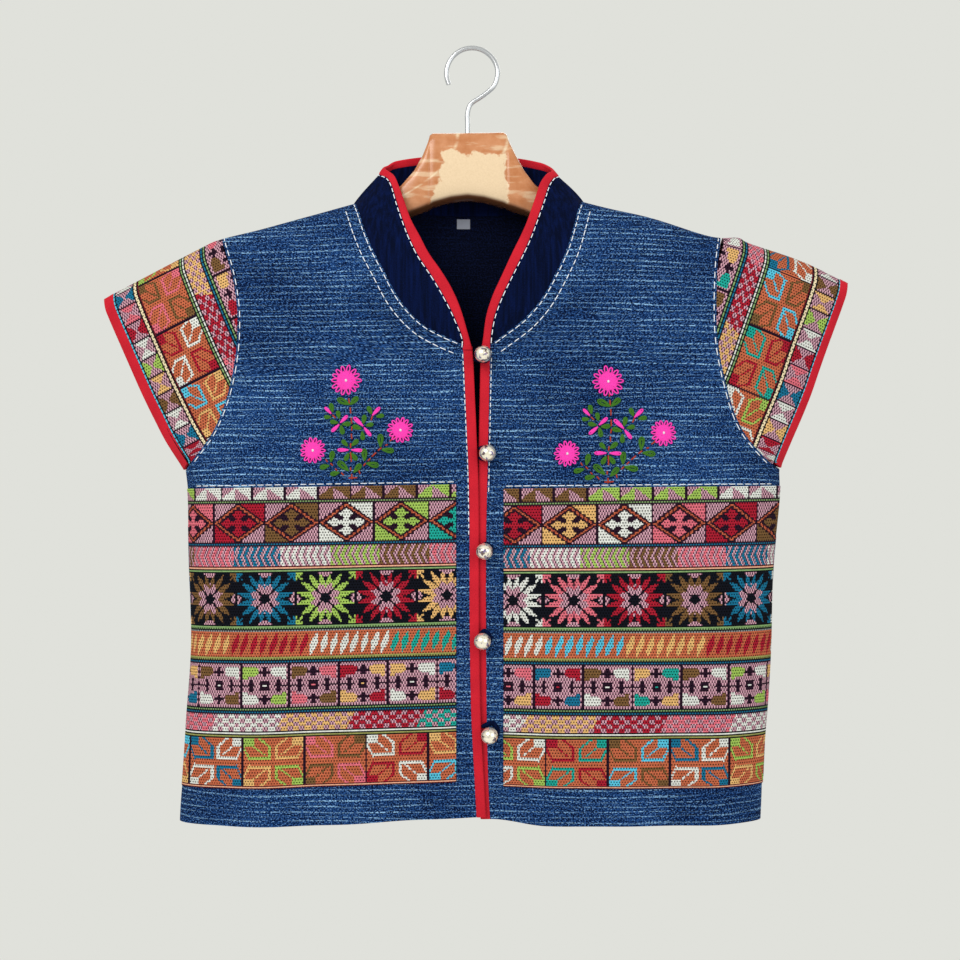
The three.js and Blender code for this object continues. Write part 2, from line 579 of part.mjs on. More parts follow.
// Each station is a rounded oblong with its back corner drawn down.
function hangerSection([x, crest, bottom, half]) {
  const top = crest ?? lookUp(TOP_LINE, x) - CLOTH - 1.1;
  const corner = Math.min(half, (top - bottom) * 0.4, 5);
  const low = bottom - UNDERSIDE_SLOPE * clamp01(1 - (Math.abs(x + 3.5) - 40) / 60);
  return [
    V(x, -half + corner * 0.7, top),
    V(x, -half + corner * 0.2, top - corner * 0.3),
    V(x, -half, top - corner),
    V(x, -half, bottom + corner * 0.5),
    V(x, -half + corner * 0.4, bottom),
    V(x, half - corner * 0.4, low),
    V(x, half, low + corner * 0.5),
    V(x, half, top - corner),
    V(x, half - corner * 0.2, top - corner * 0.3),
    V(x, half - corner * 0.7, top),
  ];
}

function loft(name, sections, material) {
  const size = sections[0].length;
  const positions = sections.flat().flatMap((point) => [point.x, point.y, point.z]);
  const triangles = [];
  for (let i = 0; i < sections.length - 1; i += 1) {
    for (let j = 0; j < size; j += 1) {
      const a = i * size + j;
      const b = i * size + ((j + 1) % size);
      triangles.push([a, b, b + size], [a, b + size, a + size]);
    }
  }
  const last = (sections.length - 1) * size;
  for (let j = 1; j < size - 1; j += 1) {
    triangles.push([0, j + 1, j], [last, last + j, last + j + 1]);
  }
  return closedMesh(name, positions, triangles, material);
}

const hanger = loft("hanger", HANGER.map(hangerSection), paint(0xcd965f, 0.35));

const hookRadius = HOOK_INNER + HOOK_WIRE;
const hookPath = [V(-3.7, 0, -68.1), V(-3.7, 0, -52), V(-1, 0, -44), V(9, 0, -37), V(18, 0, -29)];
for (let angle = 0; angle <= 205; angle += 20.5) {
  const turn = THREE.MathUtils.degToRad(angle);
  hookPath.push(V(hookRadius * Math.cos(turn), 0, -HOOK_INNER + hookRadius * Math.sin(turn)));
}
const hook = tube(
  "hanger_hook", new THREE.CatmullRomCurve3(hookPath), HOOK_WIRE, 8, 40, paint(0xb9bcc0, 0.3, 1),
);

// ---- the whole ----------------------------------------------------------------------------------

const group = new THREE.Group();
group.name = "blouse_on_hanger";
group.add(frontRight, frontLeft, back, collar, sleeveRight, sleeveLeft, panelRight, panelLeft);
group.add(collarBinding, frontBindingRight, frontBindingLeft, sleeveBindingRight, sleeveBindingLeft);
BUTTONS.forEach((spot, i) => group.add(button(spot, i + 1), loop(spot, i + 1)));
group.add(label, hanger, hook);

export default group;
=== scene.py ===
# %% [markdown]
# # A mandarin collar blouse on a wooden hanger
#
# The blouse is cropped, with cap sleeves. Its body is slub cotton dyed with indigo, and two broad
# panels of banded brocade are sewn on the fronts. Red binding runs round the collar, down both
# front edges and along the sleeve hems. White running stitches follow the seams, and two sprigs of
# flowers are worked in thick thread above the panels.
#
# Each cell below makes one piece or one finish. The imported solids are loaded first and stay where
# they are: every new piece is laid on the same shape and takes the place of its solid.

# %% Load the frame
import math

import bpy
import numpy as np
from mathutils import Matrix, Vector


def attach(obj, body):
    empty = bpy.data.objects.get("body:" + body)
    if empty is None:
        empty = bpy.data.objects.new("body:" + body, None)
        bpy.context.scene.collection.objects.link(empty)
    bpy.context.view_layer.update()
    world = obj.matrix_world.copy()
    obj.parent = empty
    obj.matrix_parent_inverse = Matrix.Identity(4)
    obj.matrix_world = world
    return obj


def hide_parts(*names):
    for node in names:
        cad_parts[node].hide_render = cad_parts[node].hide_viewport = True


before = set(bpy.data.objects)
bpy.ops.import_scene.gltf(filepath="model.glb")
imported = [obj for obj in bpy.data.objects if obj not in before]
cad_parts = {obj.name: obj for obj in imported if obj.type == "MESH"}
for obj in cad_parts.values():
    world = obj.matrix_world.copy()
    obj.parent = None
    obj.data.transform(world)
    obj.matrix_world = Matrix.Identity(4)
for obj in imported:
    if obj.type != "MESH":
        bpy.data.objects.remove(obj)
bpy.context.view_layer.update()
bpy.ops.object.select_all(action="DESELECT")
MM = 0.001

# %% [markdown]
# ## Camera, light and floor
#
# A garment hung on a wall is seen square on, from the height of its chest. A long lens would hide
# the depth of the collar, so the eye stands only 1.2 m away, as one would stand to look at it.
# The light is one broad soft lamp high on the left, a weaker one on the right and a pale sky, which
# together show the weave without hard shadows.

# %% Camera
EYE = Vector((6.56, -1200.0, -352.2)) * MM
VIEW_WIDTH = 787.2 * MM  # what the lens takes in at the plane of the side seams

bpy.ops.object.camera_add(location=EYE, rotation=(math.radians(90), 0, 0))
camera = bpy.context.active_object
camera.data.sensor_width = 36
camera.data.lens = 36 * -EYE.y / VIEW_WIDTH
bpy.context.scene.camera = camera
print("lens in mm:", round(camera.data.lens, 1))

# %% Lamps and sky
AIM = Vector((0.0, 0.0, -0.36))


def soft_lamp(name, place, size, power, tint):
    bpy.ops.object.light_add(type="AREA", location=place)
    lamp = bpy.context.active_object
    lamp.name = name
    lamp.data.size = size
    lamp.data.energy = power
    lamp.data.color = tint
    lamp.rotation_euler = (AIM - Vector(place)).to_track_quat("-Z", "Y").to_euler()
    return lamp


soft_lamp("key", (-0.9, -1.7, 0.75), 1.0, 26, (1.0, 0.98, 0.95))
soft_lamp("fill", (1.4, -1.5, 0.1), 1.4, 9, (0.95, 0.98, 1.0))
soft_lamp("rim", (0.3, 1.6, 0.9), 1.2, 10, (1.0, 1.0, 1.0))

sky = bpy.data.worlds.new("sky")
bpy.context.scene.world = sky
sky.use_nodes = True
sky.node_tree.nodes["Background"].inputs["Color"].default_value = (0.745, 0.752, 0.708, 1)
sky.node_tree.nodes["Background"].inputs["Strength"].default_value = 1.0
bpy.context.scene.view_settings.view_transform = "Standard"

# %% Floor
bpy.ops.mesh.primitive_plane_add(size=3.4, location=(0, -0.35, -1.36))
floor = bpy.context.active_object
floor.name = "floor"
bpy.ops.object.transform_apply(location=True, rotation=True, scale=True)
print("floor at", round(floor.data.vertices[0].co.z, 2), "m")

# %% [markdown]
# ## Shader sums as plain expressions
#
# A finish is a sum of small patterns: a weave, a fade, a few worn threads. Wiring each sum by hand
# is slow to read, so a wire is wrapped in a small class whose operators add the Math nodes, and a
# finish has one method that adds any other node.

# %% A wire that can be added and multiplied


class Wire:
    """One socket of a finish; arithmetic on it adds Math nodes."""

    def __init__(self, finish, socket):
        self.finish = finish
        self.socket = socket

    def math(self, operation, *values):
        return self.finish.node("ShaderNodeMath", {"operation": operation}, dict(enumerate(values)))

    def __add__(self, other):
        return self.math("ADD", self, other)

    def __radd__(self, other):
        return self.math("ADD", other, self)

    def __sub__(self, other):
        return self.math("SUBTRACT", self, other)

    def __mul__(self, other):
        return self.math("MULTIPLY", self, other)

    def __truediv__(self, other):
        return self.math("DIVIDE", self, other)

    def sine(self):
        return self.math("SINE", self)

    def size(self):
        return self.math("ABSOLUTE", self)

    def or_more(self, other):
        return self.math("MAXIMUM", self, other)

    def clamp(self):
        return self.math("MAXIMUM", self.math("MINIMUM", self, 1.0), 0.0)


# %% A finish and its one node method


class Finish:
    """A material whose nodes are added one call at a time."""

    def __init__(self, name, **shader_values):
        self.material = bpy.data.materials.new(name)
        self.material.use_nodes = True
        self.tree = self.material.node_tree
        self.shader = self.tree.nodes["Principled BSDF"]
        for socket, value in shader_values.items():
            self.shader.inputs[socket.replace("_", " ")].default_value = value

    def put(self, socket, value):
        if isinstance(value, Wire):
            self.tree.links.new(value.socket, socket)
        elif socket.type == "RGBA" and len(value) == 3:
            socket.default_value = (*value, 1)
        else:
            socket.default_value = value

    def node(self, kind, settings=None, inputs=None, output=0):
        node = self.tree.nodes.new(kind)
        for name, value in (settings or {}).items():
            setattr(node, name, value)
        for name, value in (inputs or {}).items():
            self.put(node.inputs[name], value)
        return Wire(self, node.outputs[output])

    def mix(self, share, low, high, blend="MIX"):
        settings = {"data_type": "RGBA", "blend_type": blend}
        return self.node("ShaderNodeMix", settings, {0: share, 6: low, 7: high}, output=2)

    def noise(self, place, scale, detail=2.0, rough=0.5):
        values = {"Vector": place, "Scale": scale, "Detail": detail, "Roughness": rough}
        return self.node("ShaderNodeTexNoise", {}, values)

    def stretch(self, place, scale):
        return self.node("ShaderNodeMapping", {}, {"Vector": place, "Scale": scale})

    def split(self, place):
        node = self.node("ShaderNodeSeparateXYZ", {}, {"Vector": place}).socket.node
        return [Wire(self, node.outputs[i]) for i in range(3)]

    def on_cloth(self):
        """The piece's own map, in metres along and up the cloth."""
        return self.node("ShaderNodeUVMap", {"uv_map": "cloth"})

    def in_space(self):
        return self.node("ShaderNodeTexCoord", {}, {}, output=3)

    def colour(self, wire):
        self.put(self.shader.inputs["Base Color"], wire)

    def rough(self, wire):
        self.put(self.shader.inputs["Roughness"], wire)

    def bump(self, height, depth, strength=1.0):
        values = {"Height": height, "Distance": depth, "Strength": strength}
        self.put(self.shader.inputs["Normal"], self.node("ShaderNodeBump", {}, values))


def paint(red, green, blue):
    """A colour given as it looks on a screen, 0 to 255, turned to linear light."""
    shares = [value / 255 for value in (red, green, blue)]
    return tuple(share / 12.92 if share < 0.04 else ((share + 0.055) / 1.055) ** 2.4 for share in shares)


print("mid indigo in linear light:", [round(c, 3) for c in paint(45, 85, 135)])

# %% [markdown]
# ## The outline of the blouse
#
# A maker drafts a blouse flat, so the outline is kept as tables of what is seen from the front, in
# millimetres. A row runs from the front's own edge out to the side seam or the armhole, and where
# there is a sleeve, on to its hem. The depth comes afterwards, from one rule for the whole front
# and one for the whole back, so that pieces that are sewn together always meet.

# %% Outline tables, row by row up from the hem
# front edge or neckline x, z; side seam or armhole x, z; sleeve hem x, z
RIGHT_ROWS = [
    (3.4, -621, -239.4, -626.9), (2.6, -606.5, -238.2, -613.5), (1.9, -593, -237, -600.7),
    (0.3, -563.6, -234.9, -571.4), (-1, -534.2, -233, -542), (-1.6, -504.8, -230.6, -512.8),
    (-2, -475.4, -229.4, -483.4), (-2.2, -446, -229.8, -454.1), (-2.2, -416.6, -231, -424.8),
    (-2.2, -387.2, -231.7, -395.4), (-2.6, -357.8, -232.1, -366.1), (-3.2, -336, -233.9, -345.2),
    (-3.9, -322, -228.6, -339.6, -231.6, -337.6), (-4.5, -308, -223.6, -333.8, -233.5, -334.5),
    (-5.6, -283, -210.5, -317.5, -244, -317.5), (-6.5, -262, -201.5, -300, -252.6, -300.3),
    (-7.5, -243.6, -194.4, -280.5, -262.8, -279.2), (-25.3, -235.9, -189.6, -259, -271.5, -259.6),
    (-41.3, -226.1, -187.2, -238, -279, -242.5), (-57.5, -208.2, -187.4, -216.5, -285.5, -227.7),
    (-71.4, -182.6, -190.2, -198, -290, -217.4), (-79.6, -166.9, -194.3, -182, -292.5, -211.8),
    (-86.5, -149.9, -198.3, -170, -293.8, -207.6), (-91, -136.7, -201.2, -162.6, -294.6, -204.2),
    (-93.6, -129.8, -202.9, -158.4, -295, -202), (-95.2, -126.5, -204, -155.9, -295.2, -200.9),
    (-96, -125.8, -204.6, -154.9, -295.4, -200.5),
]
LEFT_ROWS = [
    (15, -623.4, 236.2, -624.8), (14.2, -608.8, 237, -611), (13.6, -594.6, 237.8, -596.6),
    (12.8, -565.1, 239.2, -567.2), (12.2, -535.6, 241.5, -537.7), (12, -506.1, 243.4, -508.2),
    (11.8, -476.6, 244.7, -478.6), (11.7, -447.1, 245.3, -448.7), (11.8, -417.6, 246.6, -419),
    (12, -388.1, 249.3, -389.3), (12.7, -358.6, 251.7, -359.6), (13.2, -336, 251.5, -343.6),
    (13.5, -322, 243.5, -339.2, 246.8, -337), (13.8, -308, 236.5, -334.3, 247.5, -335.5),
    (14.3, -283, 221, -317.5, 254.5, -318.3), (14.7, -262, 210.5, -298, 262.2, -300),
    (14.9, -243.6, 203.3, -274.5, 270.6, -278.8), (28.9, -233.5, 198.6, -254, 277, -260),
    (42.5, -222.9, 196, -233, 283, -243), (56.2, -206.6, 195.7, -212.5, 288.6, -227.8),
    (69.2, -182.6, 196.5, -194, 293.2, -215.3), (76.7, -165.3, 198, -178, 296.6, -206),
    (81.8, -148.3, 200, -167, 299, -199.5), (85.4, -135.1, 201.5, -160.5, 300.2, -194.8),
    (88, -127.9, 202.4, -156.9, 301, -190.9), (89.6, -124.9, 202.9, -154.7, 301.4, -188.9),
    (90.5, -124.2, 203.3, -153.8, 301.6, -188.1),
]
UNDERARM, SLEEVE_START, NECK, SHOULDER = 11, 12, 16, 26  # the rows where these are

# %% Lines at the rim: the top of the shoulders, and the side folds going over into the sleeve hems
TOP_LINE = [
    (-309, -208.4), (-302.5, -205), (-296.8, -201.3), (-264, -184.1), (-223, -162.8), (-206.6, -155.4),
    (-173.8, -147.2), (-141, -138.2), (-108.2, -129.2), (0, -99), (97, -126), (146, -137.4),
    (187, -150.5), (203.4, -153.8), (218, -153.8), (228, -158.7), (269, -172.6), (301.8, -188.2),
    (309, -192),
]
RIGHT_EDGE = [
    (-640, -240), (-614.6, -238.6), (-573.6, -235.3), (-532.6, -232.9), (-491.6, -229.6),
    (-450.6, -229.6), (-409.6, -231.2), (-368.6, -232.1), (-345.6, -234.5), (-319.6, -250.8),
    (-287.1, -266.9), (-254.6, -281.3), (-221.9, -295.6), (-204, -302.4),
]
LEFT_EDGE = [
    (-640, 235.4), (-614.6, 237), (-573.6, 238.6), (-532.6, 241.9), (-491.6, 244.4),
    (-450.6, 245.2), (-409.6, 246.8), (-368.6, 251.7), (-344, 251.7), (-319.6, 261.5),
    (-287.1, 275.1), (-254.6, 286.3), (-221.9, 298.2), (-192, 309),
]

CLOTH = 1.3
FRONT_DEPTH, BACK_DEPTH = 36.0, 28.0
SIDE_ROUND, SLEEVE_ROUND = 120.0, 200.0  # how far in from the rim the cloth reaches its full depth
FRONT_DROP, BACK_DROP = 110.0, 60.0  # and how far down from the shoulder line
ARM_BOTTOM = -345.0  # below this height the front and the back are joined at the side
FOLDS_TOP, FOLDS_RUN = -400.0, 230.0  # the upright folds start here and reach full depth so far down
UNDERLAP = 3.5
BINDING_WIDTH, SLEEVE_BINDING_WIDTH = 8.0, 7.0

# %% A smooth line through numbers


def flow(knots, at, corner=None):
    """Reads a smooth line through the knots at fractional places; one knot may be a corner."""
    knots = np.asarray(knots, float)
    at = np.asarray(at, float)
    if corner is not None:
        below = flow(knots[:corner + 1], np.minimum(at, corner))
        above = flow(knots[corner:], np.maximum(at - corner, 0))
        return np.where(at <= corner, below, above)
    last = len(knots) - 1
    i = np.clip(np.floor(at).astype(int), 0, last - 1)
    f = np.clip(at - i, 0, 1)
    a, b = knots[np.maximum(i - 1, 0)], knots[i]
    c, d = knots[i + 1], knots[np.minimum(i + 2, last)]
    return b + 0.5 * f * (c - a + f * (2 * a - 5 * b + 4 * c - d + f * (3 * (b - c) + d - a)))


def reader(table, corner=None):
    """Turns a table of (place, value) rows into a function of the place."""
    at = np.linspace(0, len(table) - 1, 12 * len(table))
    places = flow([row[0] for row in table], at, corner)
    values = flow([row[1] for row in table], at, corner)
    return lambda place: np.interp(place, places, values)


def mix(low, high, share):
    return low + (high - low) * share


def ease(t):
    t = np.clip(t, 0, 1)
    return t * t * (3 - 2 * t)


top_line = reader(TOP_LINE, 9)
right_edge, left_edge = reader(RIGHT_EDGE, 8), reader(LEFT_EDGE, 8)
print("shoulder line at x = -150 mm:", round(float(top_line(-150)), 1))

# %% [markdown]
# ## How deep the blouse hangs
#
# On a hanger a blouse is a flat envelope. Front and back leave the side folds and the shoulder line
# in a tight curve and soon run flat. A quarter of an ellipse gives that curve, once across and once
# down from the shoulder, and the two are multiplied. A few soft upright folds grow toward the hem.

# %% The two shells


def quarter(t):
    return np.sqrt(np.maximum(0, 1 - (1 - np.clip(t, 0, 1)) ** 2))


def to_rim(x, z):
    """How far a point is inside the side fold or the sleeve hem."""
    return np.maximum(0, np.where(x < 5, x - right_edge(z), left_edge(z) - x))


def depth(x, z, deep, drop):
    above_arm = ease((z - ARM_BOTTOM) / 45)
    open_rim = np.where(z > ARM_BOTTOM, 0.31 + 3.5 * ease((z - ARM_BOTTOM) / 60), 0)
    across = quarter((to_rim(x, z) + open_rim) / mix(SIDE_ROUND, SLEEVE_ROUND, above_arm))
    down = quarter((top_line(x) - z) / (25 + (drop - 25) * across ** 2))
    return deep * across * down


def ripple(x, z):
    grown = np.clip((FOLDS_TOP - z) / FOLDS_RUN, 0, 1)
    return grown * (2.2 * np.sin(x / 21 + 0.8) + 1.2 * np.sin(x / 11.5))


def drape(x, z):
    """Soft slack between the shoulder and the chest, a fraction of a millimetre to two deep."""
    slack = 0.9 * np.sin(x / 34 + z / 47) * np.sin(z / 61 - x / 90 + 1)
    slack += 0.5 * np.sin(x / 15 - z / 29 + 2) * np.sin(z / 33 + x / 41)
    return slack * ease(to_rim(x, z) / 60) * ease((top_line(x) - z) / 40)


def on_front(x, z):
    under = np.where(x > 5, UNDERLAP * (1 - ease((x - 20) / 60)), 0)
    hang = -depth(x, z, 1, FRONT_DROP) * (FRONT_DEPTH - under)
    return hang + ripple(x, z) * ease(to_rim(x, z) / 50) + drape(x, z)


def on_back(x, z):
    hang = depth(x, z, BACK_DEPTH, BACK_DROP)
    return hang + ripple(x + 40, z) * ease(to_rim(x, z) / 50) + drape(x + 130, z)


print("chest depth:", round(float(on_front(-100.0, -400.0)), 1))

# %% [markdown]
# ## Laying cloth
#
# Cloth is a sheet, so each piece starts as a flat grid, as a cutter lays it on a table. Its points
# are then carried to the shell, and the sheet is given its thickness on the inside. Every sheet gets
# a map of its own, in metres along and up the cloth, so that weaves and stitches keep their true
# size where the cloth turns away at the sides.

# %% Grid to sheet


def lengths(points, axis):
    """Running length along one direction of a grid of points."""
    steps = np.linalg.norm(np.diff(points, axis=axis), axis=2)
    zero = np.zeros_like(np.take(steps, [0], axis=axis))
    return np.concatenate([zero, np.cumsum(steps, axis=axis)], axis=axis)


def set_map(cloth, along, up):
    """Writes the cloth's own map from a value for each point."""
    mesh = cloth.data
    layer = mesh.uv_layers[0] if mesh.uv_layers else mesh.uv_layers.new()
    layer.name = "cloth"
    corners = np.empty(len(mesh.loops), int)
    mesh.loops.foreach_get("vertex_index", corners)
    flat = np.stack([along.ravel()[corners], up.ravel()[corners]], axis=1)
    layer.data.foreach_set("uv", (flat * MM).ravel())


def lay(name, columns, rows, place, outward):
    """A grid of the given size, each point put where place(across, up) says, in millimetres."""
    bpy.ops.object.select_all(action="DESELECT")
    bpy.ops.mesh.primitive_grid_add(x_subdivisions=columns, y_subdivisions=rows, size=1)
    cloth = bpy.context.active_object
    cloth.name = cloth.data.name = name
    mesh = cloth.data
    flat = np.empty(len(mesh.vertices) * 3)
    mesh.vertices.foreach_get("co", flat)
    flat = flat.reshape(-1, 3)
    wide = len(np.unique(flat[:, 0].round(6)))
    across = (flat[:, 0] + 0.5).reshape(-1, wide)
    up = (flat[:, 1] + 0.5).reshape(-1, wide)
    middles = np.empty(len(mesh.polygons) * 3)
    mesh.polygons.foreach_get("center", middles)
    cells = np.floor((middles.reshape(-1, 3)[:, :2] + 0.5) * (columns, rows)).astype(int)
    points = place(across, up)
    if isinstance(points, tuple):
        points = np.stack([np.broadcast_to(part, across.shape) for part in points], axis=2)
    mesh.vertices.foreach_set("co", (points * MM).ravel())
    mesh.update()
    set_map(cloth, lengths(points, 1), lengths(points, 0))
    middle = mesh.polygons[len(mesh.polygons) // 2 + columns // 2]
    if middle.normal.dot(Vector(outward)) < 0:
        bpy.ops.object.mode_set(mode="EDIT")
        bpy.ops.mesh.select_all(action="SELECT")
        bpy.ops.mesh.flip_normals()
        bpy.ops.object.mode_set(mode="OBJECT")
    return cloth, points, cells


def turn_out(merge=None, close=False):
    """Turns the new sheet's faces outward, after its doubled points are merged and its ends closed."""
    bpy.ops.object.mode_set(mode="EDIT")
    bpy.ops.mesh.select_all(action="SELECT")
    if merge:
        bpy.ops.mesh.remove_doubles(threshold=merge * MM)
    if close:
        bpy.ops.mesh.fill_holes(sides=0)
        bpy.ops.mesh.select_all(action="SELECT")
    bpy.ops.mesh.normals_make_consistent(inside=False)
    bpy.ops.object.mode_set(mode="OBJECT")


def dress(cloth, *finishes):
    for finish in finishes:
        cloth.data.materials.append(finish.material)


def thicken(cloth, wall, lined=False):
    """Gives the sheet its thickness on the inside; a lined sheet shows its second finish there."""
    solid = cloth.modifiers.new("wall", "SOLIDIFY")
    solid.thickness = wall * MM
    solid.offset = -1
    solid.material_offset = 1 if lined else 0
    bpy.context.view_layer.objects.active = cloth
    bpy.ops.object.modifier_apply(modifier=solid.name)
    bpy.ops.object.select_all(action="DESELECT")
    cloth.select_set(True)
    bpy.ops.object.shade_smooth_by_angle(angle=math.radians(50))
    return cloth


def settle(piece, slot=None, *nodes):
    """The piece rides with the hanger and stands for its solids, which it hides; slot is not used."""
    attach(piece, "root")
    if nodes:
        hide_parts(*nodes)


# %% [markdown]
# ## Slub indigo cotton
#
# Slub yarn is thick and thin by turns, and indigo never reaches its core, so the cloth shows pale
# broken threads across a deep blue. Three things make the finish: fine grain the size of a yarn,
# broad fades where the dye has worn, and long pale weft threads a few millimetres apart that come
# and go. All of it is read from the cloth's own map.

# %% Slub cotton finish


SLUB_PITCH = 0.0044  # metres from one pale row to the next


def slub_cotton(name, deep, middle, pale, share):
    finish = Finish(name, Roughness=0.9, Specular_IOR_Level=0.06)
    cloth = finish.on_cloth()
    fade = finish.noise(cloth, 9, 3)
    grain = finish.noise(finish.stretch(cloth, (760, 900, 1)), 1, 1)
    yarn = finish.noise(finish.stretch(cloth, (90, 640, 1)), 1, 2, 0.6)
    base = finish.mix(((grain * 3.4 + yarn * 1.0 + fade * 0.9) * 1.75 - 4.2).clamp(), deep, middle)
    _, up, _ = finish.split(cloth)
    wander = finish.noise(finish.stretch(cloth, (7, 60, 1)), 1, 2)
    row = (up * (2 * math.pi / SLUB_PITCH) + wander * 16).sine()
    broken = finish.noise(finish.stretch(cloth, (680, 700, 1)), 1, 1)
    patch = finish.noise(finish.stretch(cloth, (22, 120, 1)), 1, 2)
    rows = ((row - 0.74) * 6).clamp() * ((broken - 0.44) * 9).clamp()
    speck = ((grain - 0.6) * 8).clamp() * 0.55
    thread = ((rows * ((patch - 0.36) * 4).clamp() + speck) * ((fade - 0.18) * 2.2).clamp() * share).clamp()
    finish.colour(finish.mix(thread, base, pale))
    finish.bump(yarn * 0.5 + thread * 0.6 + grain * 0.5, 0.0005, 0.8)
    return finish


denim = slub_cotton("slub_indigo", paint(0, 8, 38), paint(30, 68, 124), paint(150, 196, 234), 1.0)
# the inside faces are painted near black: the shade inside the blouse is painted into their colour
inside = slub_cotton("cotton_inside_painted_shade", paint(2, 4, 16), paint(8, 16, 44), paint(20, 34, 70), 0.4)
print("finishes:", denim.material.name, inside.material.name)

# %% [markdown]
# ## Fronts and back
#
# The right front lies over the left one at the centre. Both are drafted from the table: a point's
# height and width come from its row, its depth from the shell. The points are set closer together
# toward the side, where the cloth turns.

# %% Fronts
# the panels' weight draws the hem down: how far, the share where that starts, and its run to full depth
RIGHT_BOW, LEFT_BOW, BACK_BOW = (3.4, 0.85, 0.35), (3.9, 1.0, 0.2), 3.4
BOW_ROWS = 1.8
FOLD_GAP = 0.25  # a sheet stops this far from the side fold and from the shoulder line
EDGE_RUN_ON = 0.9  # the front's raw edge runs on this far inside its binding


def rows_of(table, column, at, corner):
    return flow([row[column] for row in table], at, corner)


def rise_of(table, at):
    """How much of the shoulder's slope a row has taken on."""
    low, high = table[UNDERARM][3], table[SHOULDER][3]
    return np.clip((rows_of(table, 3, at, UNDERARM) - low) / (high - low), 0, 1) ** 2


def hem_fade(at):
    """How much of the hem's bow a row takes up: all of it at the hem, none where the panels start."""
    return np.clip(1 - at / BOW_ROWS, 0, 1) ** 2


def front_place(table, share, at):
    """A point of a front: share 0 is the side or armhole, 1 the front edge or neckline."""
    in_x, in_z = rows_of(table, 0, at, NECK), rows_of(table, 1, at, NECK)
    out_x, out_z = rows_of(table, 2, at, UNDERARM), rows_of(table, 3, at, UNDERARM)
    top = table[SHOULDER]
    lift = top_line(mix(top[2], top[0], share)) - mix(top[3], top[1], share)
    x = mix(out_x, in_x, share)
    z = mix(out_z, in_z, share) + rise_of(table, at) * lift
    y = on_front(x, z)
    deep, start, run = RIGHT_BOW if table is RIGHT_ROWS else LEFT_BOW
    z = z - deep * ease((start - share) / run) * hem_fade(at)
    fold = (at >= SHOULDER - 1e-6) | ((share < 1e-6) & (at <= UNDERARM))
    return x, np.where(fold, -FOLD_GAP, y), z


def front(name, table):
    def place(across, up):
        x, y, z = front_place(table, across ** 1.7, up * SHOULDER)
        raw_edge = (across > 0.999) & (up * SHOULDER < NECK)
        return x - np.sign(table[0][2]) * EDGE_RUN_ON * raw_edge, y, z

    cloth, points, _ = lay(name, 90, 150, place, (0, -1, 0))
    dress(cloth, denim, inside)
    along = np.max(lengths(points, 1), axis=1, keepdims=True) - lengths(points, 1)
    set_map(cloth, along * np.sign(table[0][2]), points[:, :, 2] + 700)
    return thicken(cloth, CLOTH, lined=True)


front_right = front("front_right_cloth", RIGHT_ROWS)
front_left = front("front_left_cloth", LEFT_ROWS)
settle(front_right, "denim", "front_right")
settle(front_left, "denim", "front_left")
print("fronts:", len(front_right.data.polygons), "faces each")

# %% [markdown]
# The back is one piece from side to side. Its top edge is the shoulder line, then the shallow curve
# of the back neck, and each row below takes up a little less of that shape.

# %% Back
NECK_RIGHT, NECK_LEFT, BACK_NECK_Z = 0.266, 0.7235, -131


def back_top(share):
    right, left = RIGHT_ROWS[SHOULDER], LEFT_ROWS[SHOULDER]
    x = mix(right[2], left[2], share)
    across = np.clip((share - NECK_RIGHT) / (NECK_LEFT - NECK_RIGHT), 0, 1)
    scoop = mix(mix(right[1], left[1], across), BACK_NECK_Z, np.sqrt(np.sin(np.pi * across)))
    neck = (share > NECK_RIGHT) & (share < NECK_LEFT)
    z = np.where(neck, scoop, top_line(x))
    return x, np.where(neck, on_back(x, z), FOLD_GAP), z


def back_place(across, up):
    share = 0.5 - 0.5 * np.sign(0.5 - across) * np.abs(1 - 2 * across) ** 0.62
    at = up * SHOULDER
    top_x, top_y, top_z = back_top(share)
    straight = mix(RIGHT_ROWS[SHOULDER][3], LEFT_ROWS[SHOULDER][3], share)
    right_x, right_z = rows_of(RIGHT_ROWS, 2, at, UNDERARM), rows_of(RIGHT_ROWS, 3, at, UNDERARM)
    left_x, left_z = rows_of(LEFT_ROWS, 2, at, UNDERARM), rows_of(LEFT_ROWS, 3, at, UNDERARM)
    x = mix(right_x, left_x, share)
    z = mix(right_z, left_z, share) + rise_of(RIGHT_ROWS, at) * (top_z - straight)
    fold = ((across < 1e-6) | (across > 1 - 1e-6)) & (at <= UNDERARM)
    y = np.where(fold, FOLD_GAP, on_back(x, z))
    z = z - BACK_BOW * hem_fade(at)
    return x, np.where(at >= SHOULDER - 1e-6, top_y, y), z


back, back_points, _ = lay("back_cloth", 120, 130, back_place, (0, 1, 0))
dress(back, denim, inside)
set_map(back, lengths(back_points, 1) + 900, back_points[:, :, 2] + 700)
thicken(back, CLOTH, lined=True)
settle(back, "denim", "back")
print("back:", len(back.data.polygons), "faces")

# %% [markdown]
# ## Brocade, charted like a weaver's draft
#
# A brocade of this kind is woven in bands: lozenges, chevrons, eight-lobed stars, leaning leaves,
# crosses, checks and leaf squares, with thin plain lines between them. Each band is a rule that says
# which yarn shows in a weave cell, from how far along and how far down the band the cell lies. The
# grid of the cloth has one face for each weave cell, so a face simply takes the colour of its yarn.

